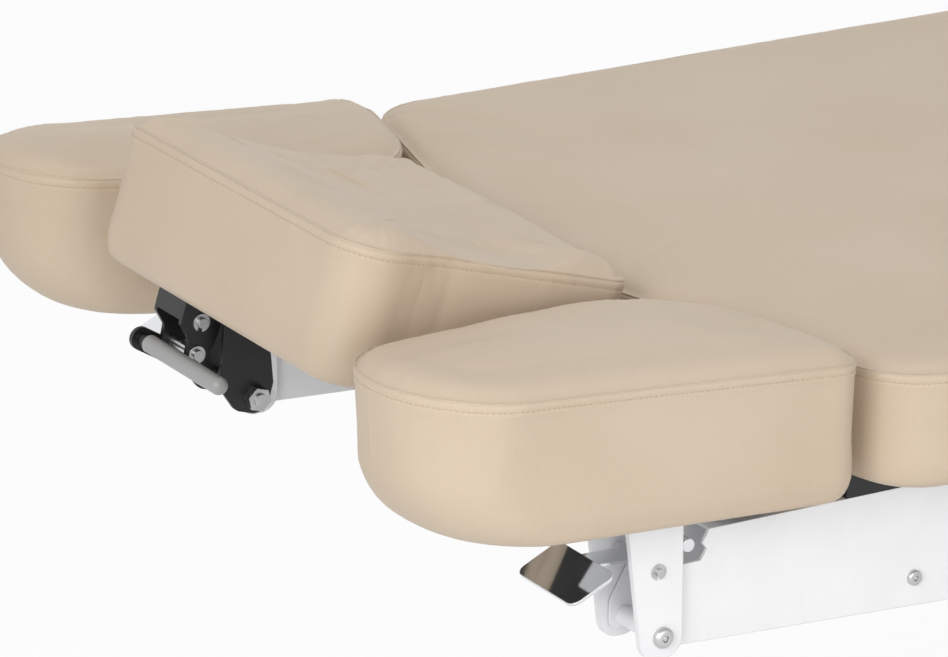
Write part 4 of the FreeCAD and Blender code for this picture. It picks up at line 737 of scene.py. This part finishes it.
make_cushion(cushion_spec(
    "armrest_left_cover", "armrest_left_cushion", "armrest_left", ARMREST_PLAN, place_armrest, seed=11.0,
    **ARMREST))
make_cushion(cushion_spec(
    "armrest_right_cover", "armrest_right_cushion", "armrest_right", ARMREST_PLAN, place_right_armrest,
    seed=14.0, mirrored=True, **ARMREST))
make_cushion(cushion_spec(
    "headrest_cover", "headrest_cushion", "headrest", HEAD_PLAN, place_headrest, seam=HEAD_SEAM, crown=19.0,
    run=52.0, dome=1.0, spine=((128.0, -60.0), (128.0, 60.0)), arc_steps=[20, 8, 14, 14, 8, 20],
    line_steps=[22, 44, 90, 44, 22, 90], top_steps=44, board=10.0, lip=[27.0] * 6,
    valley=(135.0, 210.0, HEAD_SEAM),
    creases=((((131.0, 112.0), (136.0, 92.0), (141.0, 70.0), (148.0, 44.0)), 5.0, 4.2),
             (((246.0, 72.0), (240.0, 43.0), (241.0, 16.0), (232.0, -6.0), (243.0, -14.0)), 4.2, 3.6)),
    seed=17.0))


# Camera at the photo's viewing angle
camera = bpy.data.cameras.new("camera")
camera.sensor_width = 36.0
camera.lens = 223.3
camera.clip_end = 50.0
eye = bpy.data.objects.new("camera", camera)
scene.collection.objects.link(eye)
eye.location = (-2.8155, -3.6307, 2.0374)
eye.rotation_euler = Vector((0.47989, 0.81469, -0.32557)).to_track_quat("-Z", "Y").to_euler()
scene.camera = eye


# Floor, world and studio light
def white_for_eye(tree, surface, share):
    """Mixes a plain white glow over a surface for the camera, mirrors and glass."""
    path = add(tree, "ShaderNodeLightPath")
    seen = add(tree, "ShaderNodeMath", operation="MAXIMUM")
    tree.links.new(path.outputs["Is Camera Ray"], seen.inputs[0])
    tree.links.new(path.outputs["Is Glossy Ray"], seen.inputs[1])
    through = add(tree, "ShaderNodeMath", operation="MAXIMUM")
    tree.links.new(seen.outputs[0], through.inputs[0])
    tree.links.new(path.outputs["Is Transmission Ray"], through.inputs[1])
    part = add(tree, "ShaderNodeMath", operation="MULTIPLY")
    part.inputs[1].default_value = share
    tree.links.new(through.outputs[0], part.inputs[0])
    glow = add(tree, "ShaderNodeEmission" if share < 1.0 else "ShaderNodeBackground", Strength=1.0)
    glow.inputs["Color"].default_value = (1.0, 1.0, 1.0, 1.0)
    mix = add(tree, "ShaderNodeMixShader")
    tree.links.new(part.outputs[0], mix.inputs["Fac"])
    tree.links.new(surface, mix.inputs[1])
    tree.links.new(glow.outputs[0], mix.inputs[2])
    return mix.outputs[0]


floor_mesh = bpy.data.meshes.new("floor")
floor_mesh.from_pydata([(-15, -15, 0), (15, -15, 0), (15, 15, 0), (-15, 15, 0)], [], [(0, 1, 2, 3)])
floor = bpy.data.objects.new("floor", floor_mesh)
scene.collection.objects.link(floor)
paper, paper_tree, paper_shader = new_material("white_floor")
paper_shader.inputs["Base Color"].default_value = (0.86, 0.86, 0.86, 1.0)
paper_shader.inputs["Roughness"].default_value = 0.9
paper_out = paper_tree.nodes["Material Output"]
paper_tree.links.new(white_for_eye(paper_tree, paper_shader.outputs[0], 0.93), paper_out.inputs["Surface"])
floor_mesh.materials.append(paper)

world = bpy.data.worlds.new("studio")
scene.world = world
world.use_nodes = True
sky = world.node_tree.nodes["Background"]
sky.inputs["Color"].default_value = (1.0, 1.0, 1.0, 1.0)
sky.inputs["Strength"].default_value = 0.50
world_out = world.node_tree.nodes["World Output"]
world.node_tree.links.new(white_for_eye(world.node_tree, sky.outputs[0], 1.0), world_out.inputs["Surface"])


def area_light(name, spot, aim, size, power):
    lamp = bpy.data.lights.new(name, "AREA")
    lamp.shape = "RECTANGLE"
    lamp.size, lamp.size_y = size
    lamp.energy = power
    holder = bpy.data.objects.new(name, lamp)
    scene.collection.objects.link(holder)
    holder.location = spot
    holder.rotation_euler = (Vector(aim) - Vector(spot)).to_track_quat("-Z", "Y").to_euler()
    holder.visible_camera = False


area_light("key", (-3.6, -2.0, 2.2), (-0.7, 0.0, 0.6), (1.8, 1.8), 62.0)
area_light("fill", (-1.0, -3.8, 1.1), (-0.7, 0.0, 0.6), (2.4, 1.6), 36.0)
area_light("top", (0.2, 0.6, 3.6), (0.0, 0.0, 0.6), (3.0, 2.0), 22.0)

scene.view_settings.view_transform = "Standard"
